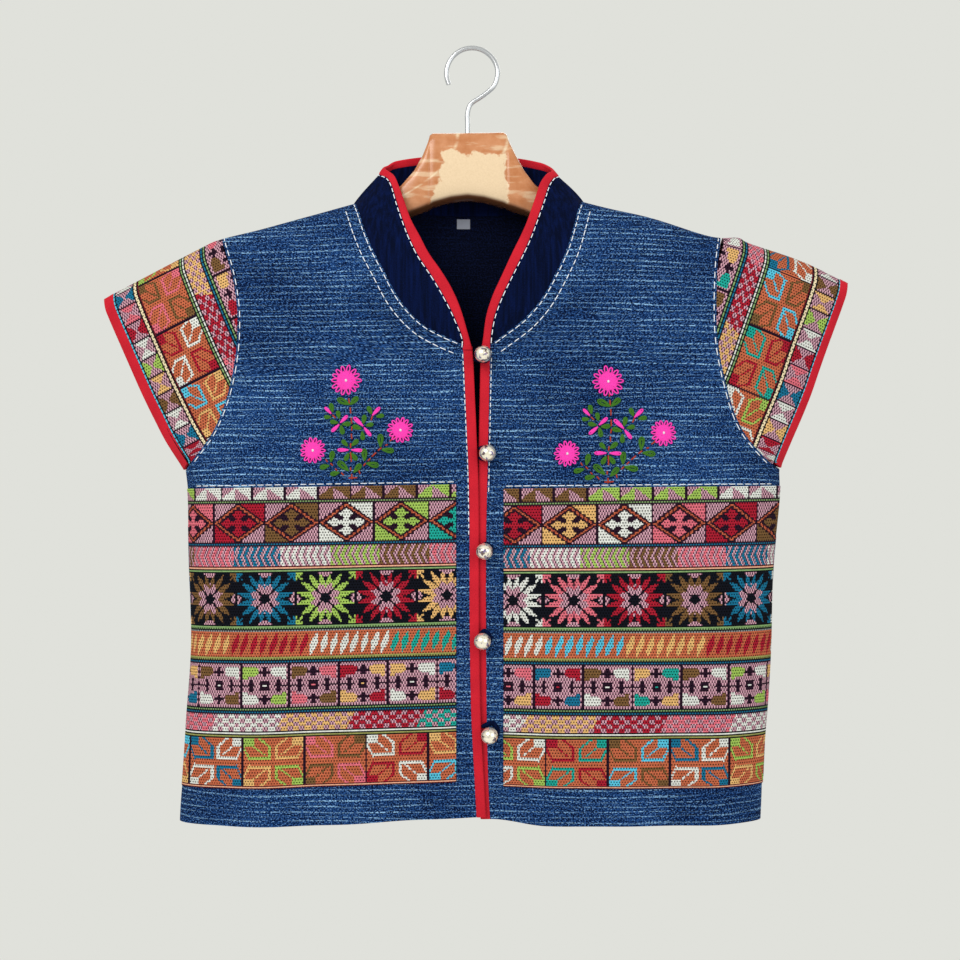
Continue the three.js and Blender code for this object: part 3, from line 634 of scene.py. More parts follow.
# %% Yarns
YARNS = {
    "m": (214, 166, 180), "d": (118, 72, 96), "k": (40, 20, 38), "K": (16, 18, 28), "r": (170, 30, 50),
    "p": (226, 112, 128), "y": (230, 182, 116), "l": (162, 196, 92), "b": (120, 88, 54),
    "w": (226, 228, 222), "t": (26, 112, 148), "q": (32, 164, 150), "s": (90, 196, 226),
    "o": (196, 104, 72), "u": (178, 84, 60), "g": (132, 166, 108), "c": (242, 224, 184),
    "e": (232, 172, 142), "n": (104, 26, 38), "h": (150, 158, 160), "v": (150, 152, 88),
}
LETTERS = list(YARNS)
YARN_LIGHT = np.array([(*paint(*YARNS[letter]), 1.0) for letter in LETTERS])
INK = {letter: i for i, letter in enumerate(LETTERS)}
CELL = 1.109  # one weave cell, in millimetres


def tile(x, divider, pitch):
    """Which repeat a cell lies in, and how many cells from that repeat's left divider."""
    number = np.floor((x - divider) / pitch).astype(int)
    return number, x - divider - number * pitch


def yarn_of(colours, number):
    """The colour of a repeat; the first one listed belongs to repeat 0."""
    inks = np.array([INK[letter] for letter in colours])
    return inks[number % len(inks)]


def pick(*choices):
    """The first letter or ink array whose condition holds; the last choice has no condition."""
    *pairs, last = choices
    result = np.broadcast_to(INK[last] if isinstance(last, str) else last, pairs[0][0].shape)
    for condition, ink in reversed(pairs):
        result = np.where(condition, INK[ink] if isinstance(ink, str) else ink, result)
    return result


# %% Bands of the brocade, one rule each


def strip(x, r, divider, colours):
    number, u = tile(x, divider, 23.75)
    along = (u % 11.9) / 11.9 * 10
    plain = np.where(u > 11.9, along < r, along < 9 - r)
    return pick((u < 1.7, "k"), (plain, "m"), yarn_of(colours, number))


def lozenges(x, r, divider, colours):
    number, u = tile(x, divider, 39.4)
    a, b = np.abs(u - 20.2), np.abs(r - 13)
    ring = a / 19.2 + b / 13.4
    lobes = (a + np.abs(b - 6) * 1.2 < 5) & (b > 2.6) | (np.abs(a - 8.5) + b * 1.3 < 4.6) & (a > 4.6)
    cross = lobes | (a < 1.7) & (b < 10) | (b < 1.2) & (a < 13) | (a + b < 4.2)
    corner = np.where((u - 20.2) * (r - 13) > 0, INK["m"], yarn_of(colours, number))
    rope = np.where((u + r).astype(int) % 3 == 0, INK["o"], INK["u"])
    dark = (u < 1.3) | (ring > 0.97) & (ring < 1.08) | (ring > 0.72) & (ring < 0.85)
    motif = yarn_of(colours, number)
    return pick((dark, "k"), (ring > 1.08, corner), (ring > 0.85, rope), (cross, motif), "k")


def chevrons(x, r, divider, colours):
    number, _ = tile(x, divider, 35.4)
    lean = (x - divider - 0.45 * np.abs(r - 6.5)) % 5.05
    return pick((lean < 2.5, "m"), yarn_of(colours, number))


def stars(x, r, divider, colours):
    number, u = tile(x, divider, 43.6)
    a, b = np.abs(u - 21.8), np.abs(r - 18)
    reach = np.hypot(a, b)
    turn = np.degrees(np.arctan2(b, a))
    frame_edge = np.minimum(20.5 / np.maximum(np.cos(np.radians(turn)), 0.01),
                            17.6 / np.maximum(np.sin(np.radians(turn)), 0.01))
    outer = np.minimum(frame_edge, 21) * (1 - 0.43 * np.abs((turn / 22.5) % 1 - 0.5) * 2)
    inner = 11.5 * (1 - 0.38 * np.abs((turn / 45) % 1 - 0.5) * 2)
    gap = (np.abs(a - b) < 0.9) & (reach < 15) | (a + b < 4.6)
    crown = (a * 0.8 + (18.5 - b) < 4.6) & (b > 15.2)
    crown |= (b * 0.8 + (20.8 - a) < 3.4) & (a > 17.6) & (a < 20.8)
    arrow = (a > 16.5) & (b > 12) & ((b > 16.3) | (a > 20.2) | (np.abs((21.8 - a) - (18.5 - b)) < 0.9))
    colour = yarn_of(colours, number)
    vein = (a < 0.6) & (b > 9) | (b < 0.6) & (a > 12)
    return pick((gap, "K"), (crown, "m"), (arrow, colour), (reach > outer, "K"), (reach < inner, "m"),
                (vein, "m"), colour)


def leaves(x, r, divider, colours):
    number, u = tile(x, divider, 7.28)
    down = (r - 8.5) / 8.2
    body = 2.5 * (1 - np.abs(down) ** 1.4)
    leaf = np.abs(u - 3.6 + 2.6 * down) < body
    return pick((leaf, yarn_of(colours, number // 8)), "o")


def crosses(x, r, divider, colours):
    number, u = tile(x, divider, 35.4)
    dx, dy = u - 18.2, r - 15
    a, b = np.abs(dx), np.abs(dy)
    dark = (u < 1.7) | (a < 3.2) & (b < 3.2)
    dark |= (np.abs(b - 9.8) < 3.4) & (a < 1.4) | (np.abs(b - 9.8) < 1) & (a < 4.4)
    dark |= (np.abs(a - 10) < 1.4) & (b < 4.6) | (b < 0.8) & (a > 6.6)
    block = (a > 4.6) & (b > 4.2) & (a + b > 13.5) & (a < 16) & (b < 13.5) & ~((b > 12) & (a < 6.5))
    block &= ~((np.abs(a - 10) < 2.6) & (b < 6.2))
    first = yarn_of(colours[0], number)
    second = yarn_of(colours[1], number)
    spark = (a < 1.3) & (b < 0.8)
    return pick((spark, second), (dark, "k"), (block, np.where(dx * dy > 0, first, second)), "m")


def checks(x, r, divider, colours):
    number, _ = tile(x + (r - 6) * 0.5, divider, 50.5)
    shift = np.floor(r / 3) % 2 * 4.35
    return pick(((x + shift) % 8.7 < 4.8, yarn_of(colours, number)), "m")


def leaf_squares(x, r, divider, colours, pitch=44.6):
    number, u = tile(x, divider, pitch)
    half = pitch / 2 + 0.6
    left, upper = u < half, r < 16.5
    p = np.where(left, u - 1.8, pitch - u) * 20.6 / (half - 1.8)
    q = np.where(upper, r, 33 - r - 0.01)
    solid = (p < 7.5) & (q < 5.6)
    side = (np.abs(p - 18.5) < 1.1) & (q > 5) & (q < 14.6)
    foot = (np.abs(q - 13.8) < 0.9) & (p > 3.4) & (p < 19.4)
    slope = (np.abs(p - 11.6 - q * 1.25) < 1.2) & (q < 5.8) | (np.abs(q - 6.4 - p * 1.9) < 1.6) & (p < 4.2)
    vein = (np.abs((p - 7.5) - (q - 5.6) * 1.25) < 0.9) & (q > 5) & (q < 12)
    mark = solid | side | foot | slope | vein
    first = yarn_of(colours[0], number)
    second = yarn_of(colours[1], number)
    return pick((u < 1.8, "k"), (mark, np.where(left == upper, first, second)), "o")


def hourglasses(x, r, divider, colours, tall=14):
    number, u = tile(x, divider, 14.1)
    a, b = np.abs(u - 7.5) / 6.6, np.abs(r - tall / 2 + 0.5) * 2 / tall
    glass = np.where(number % 2 == 0, b > a, a > b) & (np.maximum(a, b) > 0.12)
    return pick((u < 1, "k"), (glass, yarn_of(colours, number)), "m")


# %% The bands in order, and the panels' own starts and colours
# rows, rule or the letters of plain lines; then for each panel where the first repeat starts, in cells
# from the panel's inner edge, and the colours of the repeats read from left to right
RIGHT_PLAN, LEFT_PLAN = 2, 3  # where a band's row keeps each side's values
PANEL_BANDS = [
    (10, strip, (-218.9, "lwwwwbbbll"), (-12.4, "bbbllllwww")),
    (3, "kgk", None, None),
    (27, lozenges, (-217.1, "prbwlq"), (-12.4, "rywprb")),
    (3, "ktk", None, None),
    (14, chevrons, (-231.8, "bptwlbp"), (-16.2, "twlbptw")),
    (5, "neKgK", None, None),
    (37, stars, (-202.7, "btlry"), (-15.1, "wprbt")),
    (5, "KggKh", None, None),
    (18, leaves, (-222.0, "yrwq"), (-29.3, "wsyr")),
    (5, "vvKtk", None, None),
    (31, crosses, (-226.7, ("tblbryt", "ywwpywr")), (-14.5, ("ytbybl", "prwqww"))),
    (5, "KgKtk", None, None),
    (12, checks, (-227.8, "pwyrq"), (-35.6, "wyrpwy")),
    (5, "KwKvK", None, None),
    (33, leaf_squares, (-199.2, ("tlpwy", "wybrs")), (-15.0, ("lrbtl", "wqswy"))),
    (3, "nen", None, None),
]


def weave(bands, plan, x, row):
    """Yarn numbers for cells at x along the bands and a row down from the first band."""
    ink = np.zeros(x.shape, int)
    top = 0
    for band in bands:
        here = (row >= top) & (row < top + band[0])
        if isinstance(band[1], str):
            ink[here] = np.array([INK[letter] for letter in band[1]])[row[here].astype(int) - top]
        else:
            ink[here] = band[1](x[here], row[here] - top, *band[plan])
        top += band[0]
    return ink


PANEL_ROWS = sum(band[0] for band in PANEL_BANDS)
print("panel rows:", PANEL_ROWS, "which make", round(PANEL_ROWS * CELL, 1), "mm")

# %% [markdown]
# The yarns are thick, and each one dips under the next, so the cloth has a fine pebbled surface with
# dark pinholes. The finish takes its colour from the face and lays that small relief over it.

# %% Brocade finish
PEBBLE = 2 * math.pi / 0.00111  # turns the cloth's map to one wave for each weave cell
brocade = Finish("brocade", Roughness=0.9, Specular_IOR_Level=0.06)
brocade_map = brocade.on_cloth()
along, up, _ = brocade.split(brocade_map)
pick_wave = (along * PEBBLE + 1.57).sine() * (up * PEBBLE + 1.57).sine()
fibre = brocade.noise(brocade.stretch(brocade_map, (1500, 1500, 1)), 1, 2)
soil = brocade.noise(brocade_map, 30, 2)
yarn = brocade.node("ShaderNodeVertexColor", {"layer_name": "weave"}, {})
shade = (0.36 + fibre * 0.62 + soil * 0.2).clamp()
grey = brocade.node("ShaderNodeCombineColor", {}, {0: shade, 1: shade, 2: shade})
brocade.colour(brocade.mix(1.0, yarn, grey, "MULTIPLY"))
brocade.bump(pick_wave * 0.5 + fibre, 0.0003, 0.6)


DIPPED, PROUD = 0.16, 1.1  # how much light a cell shows where its yarn dips, and elsewhere


def colour_faces(cloth, inks, cells):
    """Gives every face of a fresh grid the colour of its yarn; where yarns dip, a cell lies in shade."""
    weave_dice = np.random.default_rng(3)
    brick = (cells[:, 0] + cells[:, 1] // 2) % 2 == 0
    dips = brick & (cells[:, 1] % 2 == 0)
    light = YARN_LIGHT[np.where(brick & (inks == INK["m"]), INK["d"], inks)]
    uneven = weave_dice.uniform(0.84, 1.1, len(inks))
    light[:, :3] *= (np.where(dips, DIPPED, PROUD) * uneven)[:, None]
    attribute = cloth.data.color_attributes.new(name="weave", type="FLOAT_COLOR", domain="CORNER")
    attribute.data.foreach_set("color", np.repeat(light, 4, axis=0).ravel())


def raised(points, amount, outward):
    """Points of a grid moved off their surface, toward the side that outward points to."""
    normal = np.cross(np.gradient(points, axis=1), np.gradient(points, axis=0))
    normal /= np.maximum(np.linalg.norm(normal, axis=2, keepdims=True), 1e-9)
    rows, columns = points.shape[:2]
    if np.dot(normal[rows // 2, columns // 2], outward) < 0:
        normal = -normal
    return points + amount * normal


# %% [markdown]
# ## Brocade panels
#
# Each panel is a rectangle of brocade laid on its front, from close to the binding to the side seam.
# Its cells stay the same width all the way, so they are stepped off along the curve of the cloth.

# %% Panels
PANEL_CLOTH, LIFT = 0.8, 0.35
PANEL_COLUMNS, EVEN_COLUMNS = 206, 192
RIGHT_INNER, LEFT_INNER = -12.5, 25.4  # each panel's edge beside the placket


def panel_place(table, inner, low, high, across, up):
    share = np.linspace(1, 0.005, 700)
    lines = []
    for rise in up[:, 0]:
        at = mix(mix(low[0], low[1], share), mix(high[0], high[1], share), rise)
        edge_x, side_x = rows_of(table, 0, at[0], NECK), rows_of(table, 2, at[0], UNDERARM)
        x, y, z = front_place(table, share * (inner - side_x) / (edge_x - side_x), at)
        line = np.stack([x, y, z], axis=1)
        run = np.concatenate([[0], np.cumsum(np.linalg.norm(np.diff(line, axis=0), axis=1))])
        column = np.round(across[0] * PANEL_COLUMNS)
        even = EVEN_COLUMNS * CELL
        rest = (column - EVEN_COLUMNS) / (PANEL_COLUMNS - EVEN_COLUMNS)
        step = np.where(column < EVEN_COLUMNS, column * CELL, mix(even, run[-1], rest))
        lines.append(np.stack([np.interp(step, run, line[:, i]) for i in range(3)], axis=1))
    return raised(np.array(lines), LIFT + PANEL_CLOTH, (0, -1, 0))


def panel(name, table, inner, low, high, plan):
    place = lambda across, up: panel_place(table, inner, low, high, across, up)
    cloth, _, cells = lay(name, PANEL_COLUMNS, PANEL_ROWS, place, (0, -1, 0))
    side = -1 if plan == RIGHT_PLAN else 1
    inks = weave(PANEL_BANDS, plan, side * (cells[:, 0] + 0.5), PANEL_ROWS - 1 - cells[:, 1])
    colour_faces(cloth, inks, cells)
    dress(cloth, brocade)
    return thicken(cloth, PANEL_CLOTH)


# rows of the bottom edge and of the top edge, each at the side seam and at the placket
panel_right = panel("panel_right_cloth", RIGHT_ROWS, RIGHT_INNER, (2, 2.055), (10.27, 10.1), RIGHT_PLAN)
panel_left = panel("panel_left_cloth", LEFT_ROWS, LEFT_INNER, (1.89, 1.89), (10.12, 9.98), LEFT_PLAN)
settle(panel_right, "brocade", "panel_right")
settle(panel_left, "brocade", "panel_left")
print("panel faces:", len(panel_right.data.polygons))

# %% [markdown]
# ## Cap sleeves
#
# The sleeves are cut from the same brocade, turned so that its bands run along the sleeve hem. The
# grid is stepped off from the hem inward, and whatever would lie beyond the armhole is cut away.
# It goes up the front, over the shoulder fold and down the back.

# %% Sleeves
SLEEVE_BANDS = [
    (31, crosses, (-3.5, ("brwt", "pyrb")), (-124.4, ("bbyw", "wpqw"))),
    (5, "KgKtk", None, None),
    (12, checks, (-8.0, "yrpw"), (-177.0, "wyrp")),
    (5, "KwKgK", None, None),
    (33, leaf_squares, (-31.2, ("lpwyt", "ybrsw"), 42.0), (-160.9, ("lrbtp", "wqswy"), 45.5)),
    (5, "nKccK", None, None),
]
RIM_BANDS = {  # the binding covers two rows more on the right sleeve
    RIGHT_PLAN: [(14, hourglasses, (-19.6, "rwtprwlybwtr"), None), (4, "KsKK", None, None)],
    LEFT_PLAN: [(16, hourglasses, None, (-168.3, "wrywtprwlyb", 16)), (2, "Ks", None, None)],
}
SLEEVE_DEEP = sum(band[0] for band in SLEEVE_BANDS + RIM_BANDS[RIGHT_PLAN])
SLEEVE_COLUMNS = 92  # cells from the hem to past the armhole
ARM_SEAM, TUCK = -1.0, 0.6  # the sleeve runs in under the edge of the armhole, this much deeper


def unit(vector):
    return vector / np.maximum(np.linalg.norm(vector, axis=-1, keepdims=True), 1e-9)


def armhole(table, side):
    at = np.linspace(SLEEVE_START, SHOULDER, 300)
    line = np.stack([rows_of(table, 2, at, 0), rows_of(table, 3, at, 0)], axis=1)
    run = unit(np.gradient(line, axis=0))
    return line + ARM_SEAM * side * np.stack([run[:, 1], -run[:, 0]], axis=1)


def sleeve_row(table, side, inward, arm, at, reach, shell):
    """Points at the given distances in from the hem, on the line that starts at row at."""
    lower = table[SLEEVE_START:]
    hem = np.array([flow([row[i] for row in lower], at - SLEEVE_START) for i in (4, 5)])
    own = np.array([rows_of(table, i, at, 0) for i in (2, 3)]) - hem
    last = np.array([table[SHOULDER][2] - table[SHOULDER][4], table[SHOULDER][3] - table[SHOULDER][5]])
    way = mix(np.array(inward), unit(own), 1 - ease((at - SLEEVE_START) / 1.2))
    way = unit(mix(way, unit(last), ease((at - 22) / 4)))
    off = (arm[:, 0] - hem[0]) * way[1] - (arm[:, 1] - hem[1]) * way[0]
    far = (arm - hem) @ way
    order = np.argsort(off)
    stop = np.interp(0, off[order], far[order])
    flat = hem + np.minimum(reach, stop)[:, None] * way
    x, z = flat[:, 0], flat[:, 1]
    straight = table[SHOULDER][5] + (x - table[SHOULDER][4]) * last[1] / last[0]
    z = np.minimum(z + (top_line(x) - straight) * ease((at - 21) / 5), top_line(x))
    z = np.where(at >= SHOULDER - 1e-6, top_line(x), z)
    tuck = TUCK * ease((np.minimum(reach, stop) - stop + 2.4) / 1.0) * (1 if shell is on_front else -1)
    return np.stack([x, np.where(at >= SHOULDER - 1e-6, 0, shell(x, z) + tuck), z], axis=1)


def sleeve(name, table, side, inward, plan):
    arm = armhole(table, side)
    ats = np.linspace(SHOULDER, SLEEVE_START, 400)
    lines = []
    counts = []
    reach = np.arange(SLEEVE_COLUMNS + 1) * CELL
    for shell in (on_front, on_back):
        middle = np.array([sleeve_row(table, side, inward, arm, at, reach[30:31], shell)[0] for at in ats])
        run = np.concatenate([[0], np.cumsum(np.linalg.norm(np.diff(middle, axis=0), axis=1))])
        count = int(run[-1] / CELL)
        rows = np.interp(np.linspace(0, run[-1], count + 1), run, ats)
        counts.append(count)
        lines.append([sleeve_row(table, side, inward, arm, at, reach, shell) for at in rows])
    points = np.array(lines[0][::-1] + lines[1][1:])
    place = lambda across, up: points
    cloth, _, cells = lay(name, SLEEVE_COLUMNS, sum(counts), place, (0, -1, 0))
    down = counts[0] - cells[:, 1] - 0.5
    x = down if plan == RIGHT_PLAN else -down
    bands = SLEEVE_BANDS + RIM_BANDS[plan]
    colour_faces(cloth, weave(bands, plan, x, SLEEVE_DEEP - 1 - cells[:, 0]), cells)
    dress(cloth, brocade)
    turn_out(merge=0.02)
    return thicken(cloth, CLOTH)


sleeve_right = sleeve("sleeve_right_cloth", RIGHT_ROWS, -1, (0.905, 0.425), RIGHT_PLAN)
sleeve_left = sleeve("sleeve_left_cloth", LEFT_ROWS, 1, (-0.93, 0.36), LEFT_PLAN)
settle(sleeve_right, "brocade", "sleeve_right")
settle(sleeve_left, "brocade", "sleeve_left")
print("sleeve faces:", len(sleeve_right.data.polygons), len(sleeve_left.data.polygons))

# %% [markdown]
# ## Collar
#
# The collar is a band of plain indigo, two layers thick, sewn into the neckline. It stands up at the
# back and falls open in front. A row of stations follows it round: each says where the band's upper
# edge is, and where the fold of its binding comes.

# %% Collar stations: neckline row, or share of the back's top edge; then edge and fold, x, y, z
COLLAR = [
    ("right", 16.18, (-8.2, -37.3, -239.2), (-1.5, -38, -241.5)),
    ("right", 17, (-15.7, -37.3, -221), (-8.5, -38, -217.2)),
    ("right", 18, (-24.5, -37.2, -204), (-15.7, -37.8, -200.2)),
    ("right", 19, (-33.3, -37, -189.4), (-24.5, -37.4, -185.5)),
    ("right", 20, (-43.1, -35.6, -174.6), (-34.2, -36.2, -171.5)),
    ("right", 21, (-50.4, -33, -159.7), (-41.5, -33.8, -157.4)),
    ("right", 22, (-56.2, -28.5, -144.5), (-48.9, -29.5, -143.2)),
    ("right", 23, (-61.3, -22.5, -129.1), (-54, -24, -128.7)),
    ("right", 24, (-65.6, -15.5, -114.5), (-58.6, -17.5, -115.5)),
    ("right", 25, (-70, -9, -107), (-63.5, -11, -104.5)),
    ("right", 26, (-76.5, -2, -103), (-71.5, -3.5, -97.2)),
    ("back", 0.3, (-71.5, 6.5, -99.8), (-68.5, 5.5, -92.6)),
    ("back", 0.34, (-63, 13, -95.5), (-61, 12, -87.6)),
    ("back", 0.42, (-34, 19.5, -90.8), (-33.5, 19, -82.8)),
    ("back", 0.5, (0, 22.3, -90.2), (0, 22, -82.2)),
    ("back", 0.58, (33, 20, -91.6), (33, 19.5, -83.8)),
    ("back", 0.65, (57, 14.5, -96.5), (55, 13.5, -88.6)),
    ("back", 0.69, (66.5, 7, -100.5), (63, 6, -93.4)),
    ("left", 26, (71.5, -2, -104.5), (65.5, -3.5, -99)),
    ("left", 25, (67.5, -9, -107.2), (60.5, -10.5, -103.5)),
    ("left", 24, (63.2, -14.5, -114), (55.2, -16, -112)),
    ("left", 23, (59.1, -22.5, -126.7), (50.9, -24, -125.4)),
    ("left", 22, (52.4, -28.5, -146.1), (44.3, -29.5, -144.8)),
    ("left", 21, (46.7, -33, -161.3), (38.6, -33.8, -158.2)),
    ("left", 20, (40.6, -35.6, -174.6), (32.5, -36.2, -170.7)),
    ("left", 19, (31.4, -36.8, -193), (23.8, -37.2, -189.6)),
    ("left", 18, (24.2, -36.6, -208.2), (16.6, -37, -205.4)),
    ("left", 17, (18.6, -35.8, -224), (11.4, -36.2, -222)),
    ("left", 16.18, (16, -34.6, -238.6), (8.9, -35.2, -240.5)),
]


def collar_foot(side, at):
    if side == "back":
        return np.array([float(part) for part in back_top(np.array(at))])
    table = RIGHT_ROWS if side == "right" else LEFT_ROWS
    x, z = float(rows_of(table, 0, at, NECK)), float(rows_of(table, 1, at, NECK))
    return np.array([x, 0.0 if at == SHOULDER else float(on_front(x, z)), z])


COLLAR_CLOTH = 1.8
COLLAR_SEAM = 1.2  # the band's foot goes this far under the neckline, its binding starts this far up
COLLAR_INSIDE = 2.5  # how far the band's edge runs on inside its binding

feet = np.array([collar_foot(side, at) for side, at, _, _ in COLLAR])
edges = np.array([edge for _, _, edge, _ in COLLAR])
folds = np.array([fold for _, _, _, fold in COLLAR])
feet = feet - COLLAR_SEAM * unit(edges - feet)
bind_from = edges + COLLAR_SEAM * unit(folds - edges)


def along_stations(values, count):
    at = np.linspace(0, len(values) - 1, count)
    return np.stack([flow(values[:, i], at) for i in range(3)], axis=1)


def collar_place(across, up):
    low = along_stations(feet, across.shape[1])
    high = along_stations(edges + COLLAR_INSIDE * unit(folds - edges), across.shape[1])
    share = up[:, 0][:, None, None]
    points = mix(low[None], high[None], share)
    away = unit(np.cross(np.gradient(low, axis=0), high - low))
    away *= np.sign(away[:, 1:2].mean()) * -1
    return points + away[None] * (np.sin(np.pi * share) - 0.6 * (1 - share) ** 8)


# %% Plain indigo finish
indigo = Finish("plain_indigo", Roughness=0.9, Specular_IOR_Level=0.06)
indigo_map = indigo.on_cloth()
indigo_up = indigo.stretch(indigo.in_space(), (420, 420, 22))
streak = indigo.noise(indigo_up, 1, 3)
nap = indigo.noise(indigo.stretch(indigo_map, (900, 900, 1)), 1, 2)
indigo.colour(indigo.mix((streak * 1.6 + nap * 0.8 - 1.0).clamp(), paint(1, 7, 32), paint(6, 24, 74)))
indigo.bump(nap + streak, 0.0003, 0.5)

# %% Collar
collar, _, _ = lay("collar_cloth", 220, 16, collar_place, (0, -1, 0))
dress(collar, indigo)
turn_out()
# the band's outer face looks forward where it lies on the right front
right_end = [face for face in collar.data.polygons if face.center.x < -0.045 and face.center.z < -0.15]
if sum(face.normal.y for face in right_end) > 0:
    collar.data.flip_normals()
thicken(collar, COLLAR_CLOTH)
settle(collar, "collar_cloth", "collar")
print("collar faces:", len(collar.data.polygons))

# %% [markdown]
# ## Red bindings
#
# A binding is a bias strip folded over a raw edge: it shows on both faces and is round at the fold.
# So each one is a flat loop in section, swept along its edge, a little puffed between stitches.

# %% Binding finish and the folded strip
red = Finish("red_binding", Roughness=0.8, Specular_IOR_Level=0.12)
red_map = red.on_cloth()
red_nap = red.noise(red.stretch(red_map, (1100, 1100, 1)), 1, 2)
red_fade = red.noise(red_map, 40, 2)
red.colour(red.mix((red_nap * 0.8 + red_fade * 0.8 - 0.3).clamp(), paint(150, 14, 32), paint(212, 34, 50)))
red.bump(red_nap, 0.0002, 0.5)


def binding(name, base, fold, normal, top, bottom, slot, node):
    """A folded strip from base to fold along the rows of points given."""
    run = unit(fold - base)
    wide = np.linalg.norm(fold - base, axis=1, keepdims=True)
    thick = (top - bottom) / 2
    middle = (top + bottom) / 2
    places = np.concatenate([[0], np.cumsum(np.linalg.norm(np.diff(fold, axis=0), axis=1))])
    puff = (0.10 * np.abs(np.sin(places * np.pi / 5.8)) + 0.08 * np.sin(places / 9.0))[:, None]
    # share of the width, height, and how much of the puff it takes; then the fold; then the back leg
    face = [(0.0, top - 0.45, 0), (0.08, top - 0.1, 0.3), (0.25, top, 1), (0.55, top, 1), (0.8, top, 0.6)]
    back_leg = [(0.7, bottom), (0.4, bottom), (0.1, bottom), (0.0, bottom + 0.4)]
    section = [base + run * wide * share + normal * (high + puff * part) for share, high, part in face]
    for angle in np.radians([80, 50, 20, -10, -40, -70]):
        section.append(fold - run * thick * (1 - np.cos(angle)) + normal * (middle + thick * np.sin(angle)))
    section += [base + run * wide * share + normal * high for share, high in back_leg]
    section.append(section[0])
    points = np.stack(section, axis=1)
    cloth, _, _ = lay(name, len(section) - 1, len(base) - 1, lambda across, up: points, (0, -1, 0))
    turn_out(merge=0.01, close=True)
    dress(cloth, red)
    bpy.ops.object.shade_smooth_by_angle(angle=math.radians(55))
    settle(cloth, slot, node)
    return cloth


# %% Collar binding
# each end runs on down behind the top of the front binding: where its base and its fold stop
RIGHT_END = ((-7.2, -36.9, -248.5), (0.4, -37.2, -248.5))
LEFT_END = ((14.6, -34.0, -248.5), (7.2, -34.2, -248.5))
STATIONS = 440
COLLAR_FACE = 0.75  # how far the binding's face stands off the collar
collar_base = along_stations(np.array([RIGHT_END[0], *bind_from, LEFT_END[0]]), STATIONS)
collar_fold = along_stations(np.array([RIGHT_END[1], *folds, LEFT_END[1]]), STATIONS)
collar_out = unit(np.cross(np.gradient(collar_base, axis=0), collar_fold - collar_base))
if collar_out[60, 1] > 0:
    collar_out = -collar_out
collar_binding = binding("collar_binding_cloth", collar_base, collar_fold, collar_out, COLLAR_FACE, -1.9,
                         "binding", "collar_binding")

# %% Front bindings


FRONT_FACE = 0.7  # how far a front binding's face stands off its cloth
BASE_SHIFT = 0.45  # the strip starts this far in from the cloth's edge line


def front_binding(name, table, toward, node):
    at = np.linspace(0, NECK, 300)
    x = flow([row[0] for row in table[:NECK + 1]], at)
    z = flow([row[1] for row in table[:NECK + 1]], at)
    y = on_front(x, z)
    z = z - 2.6 * ease((at - 15.3) / 0.7)  # its top stops under the end of the collar's binding
    base = np.stack([x + toward * BASE_SHIFT, y, z], axis=1)
    fold = base + np.array([toward * (BINDING_WIDTH - BASE_SHIFT), 0, 0])
    out = np.broadcast_to(np.array([0.0, -1.0, 0.0]), base.shape)
    return binding(name, base, fold, out, FRONT_FACE, -1.6, "binding", node)


front_binding_right = front_binding("front_binding_right_cloth", RIGHT_ROWS, 1, "front_binding_right")
front_binding_left = front_binding("front_binding_left_cloth", LEFT_ROWS, -1, "front_binding_left")

# %% Sleeve bindings
RIGHT_UNDERARM = ((-231.6, -339.4), (-235.8, -344))
LEFT_UNDERARM = ((247.2, -339.2), (253, -342.2))


def sleeve_binding(name, table, away, underarm, lap, node):
    lower = table[SLEEVE_START + 1:]
    at = np.linspace(0, SHOULDER - SLEEVE_START - 1, 150)
    hem = np.stack([flow([row[i] for row in lower], at) for i in (4, 5)], axis=1)
    start = np.linspace(0, 1, 12)[:-1, None]
    flat_pair = []
    for corner, shift in zip(underarm, (-lap, SLEEVE_BINDING_WIDTH)):
        edge = hem + shift * np.array(away)
        flat_pair.append(np.concatenate([mix(np.array(corner), edge[0], start), edge]))
    sides = []
    for shell in (on_front, on_back):
        pair = []
        for line in flat_pair:
            x, z = line[:, 0], np.minimum(line[:, 1], top_line(line[:, 0]) - 0.2)
            y = shell(x, z)
            z[-1], y[-1] = top_line(x[-1]), 0
            pair.append(np.stack([x, y, z], axis=1))
        sides.append(pair)
    base = np.concatenate([sides[0][0], sides[1][0][-2::-1]])
    fold = np.concatenate([sides[0][1], sides[1][1][-2::-1]])
    out = unit(np.cross(np.gradient(base, axis=0), fold - base))
    if out[20, 1] > 0:
        out = -out
    return binding(name, base, fold, out, 0.4, -1.6, "binding", node)


sleeve_binding_right = sleeve_binding("sleeve_binding_right_cloth", RIGHT_ROWS, (-0.907, -0.42),
                                      RIGHT_UNDERARM, 2.2, "sleeve_binding_right")
sleeve_binding_left = sleeve_binding("sleeve_binding_left_cloth", LEFT_ROWS, (0.93, -0.36),
                                     LEFT_UNDERARM, 0.4, "sleeve_binding_left")
print("bindings:", len(collar_binding.data.polygons), len(front_binding_right.data.polygons))

# %% [markdown]
# ## Ball buttons and loops
#
# Each button is a hollow silver ball on a shank, sewn to the lower front. A bias cord from the upper
# front's edge goes round it. The ball is a plain sphere drawn out at the back into its shank.

# %% Cords


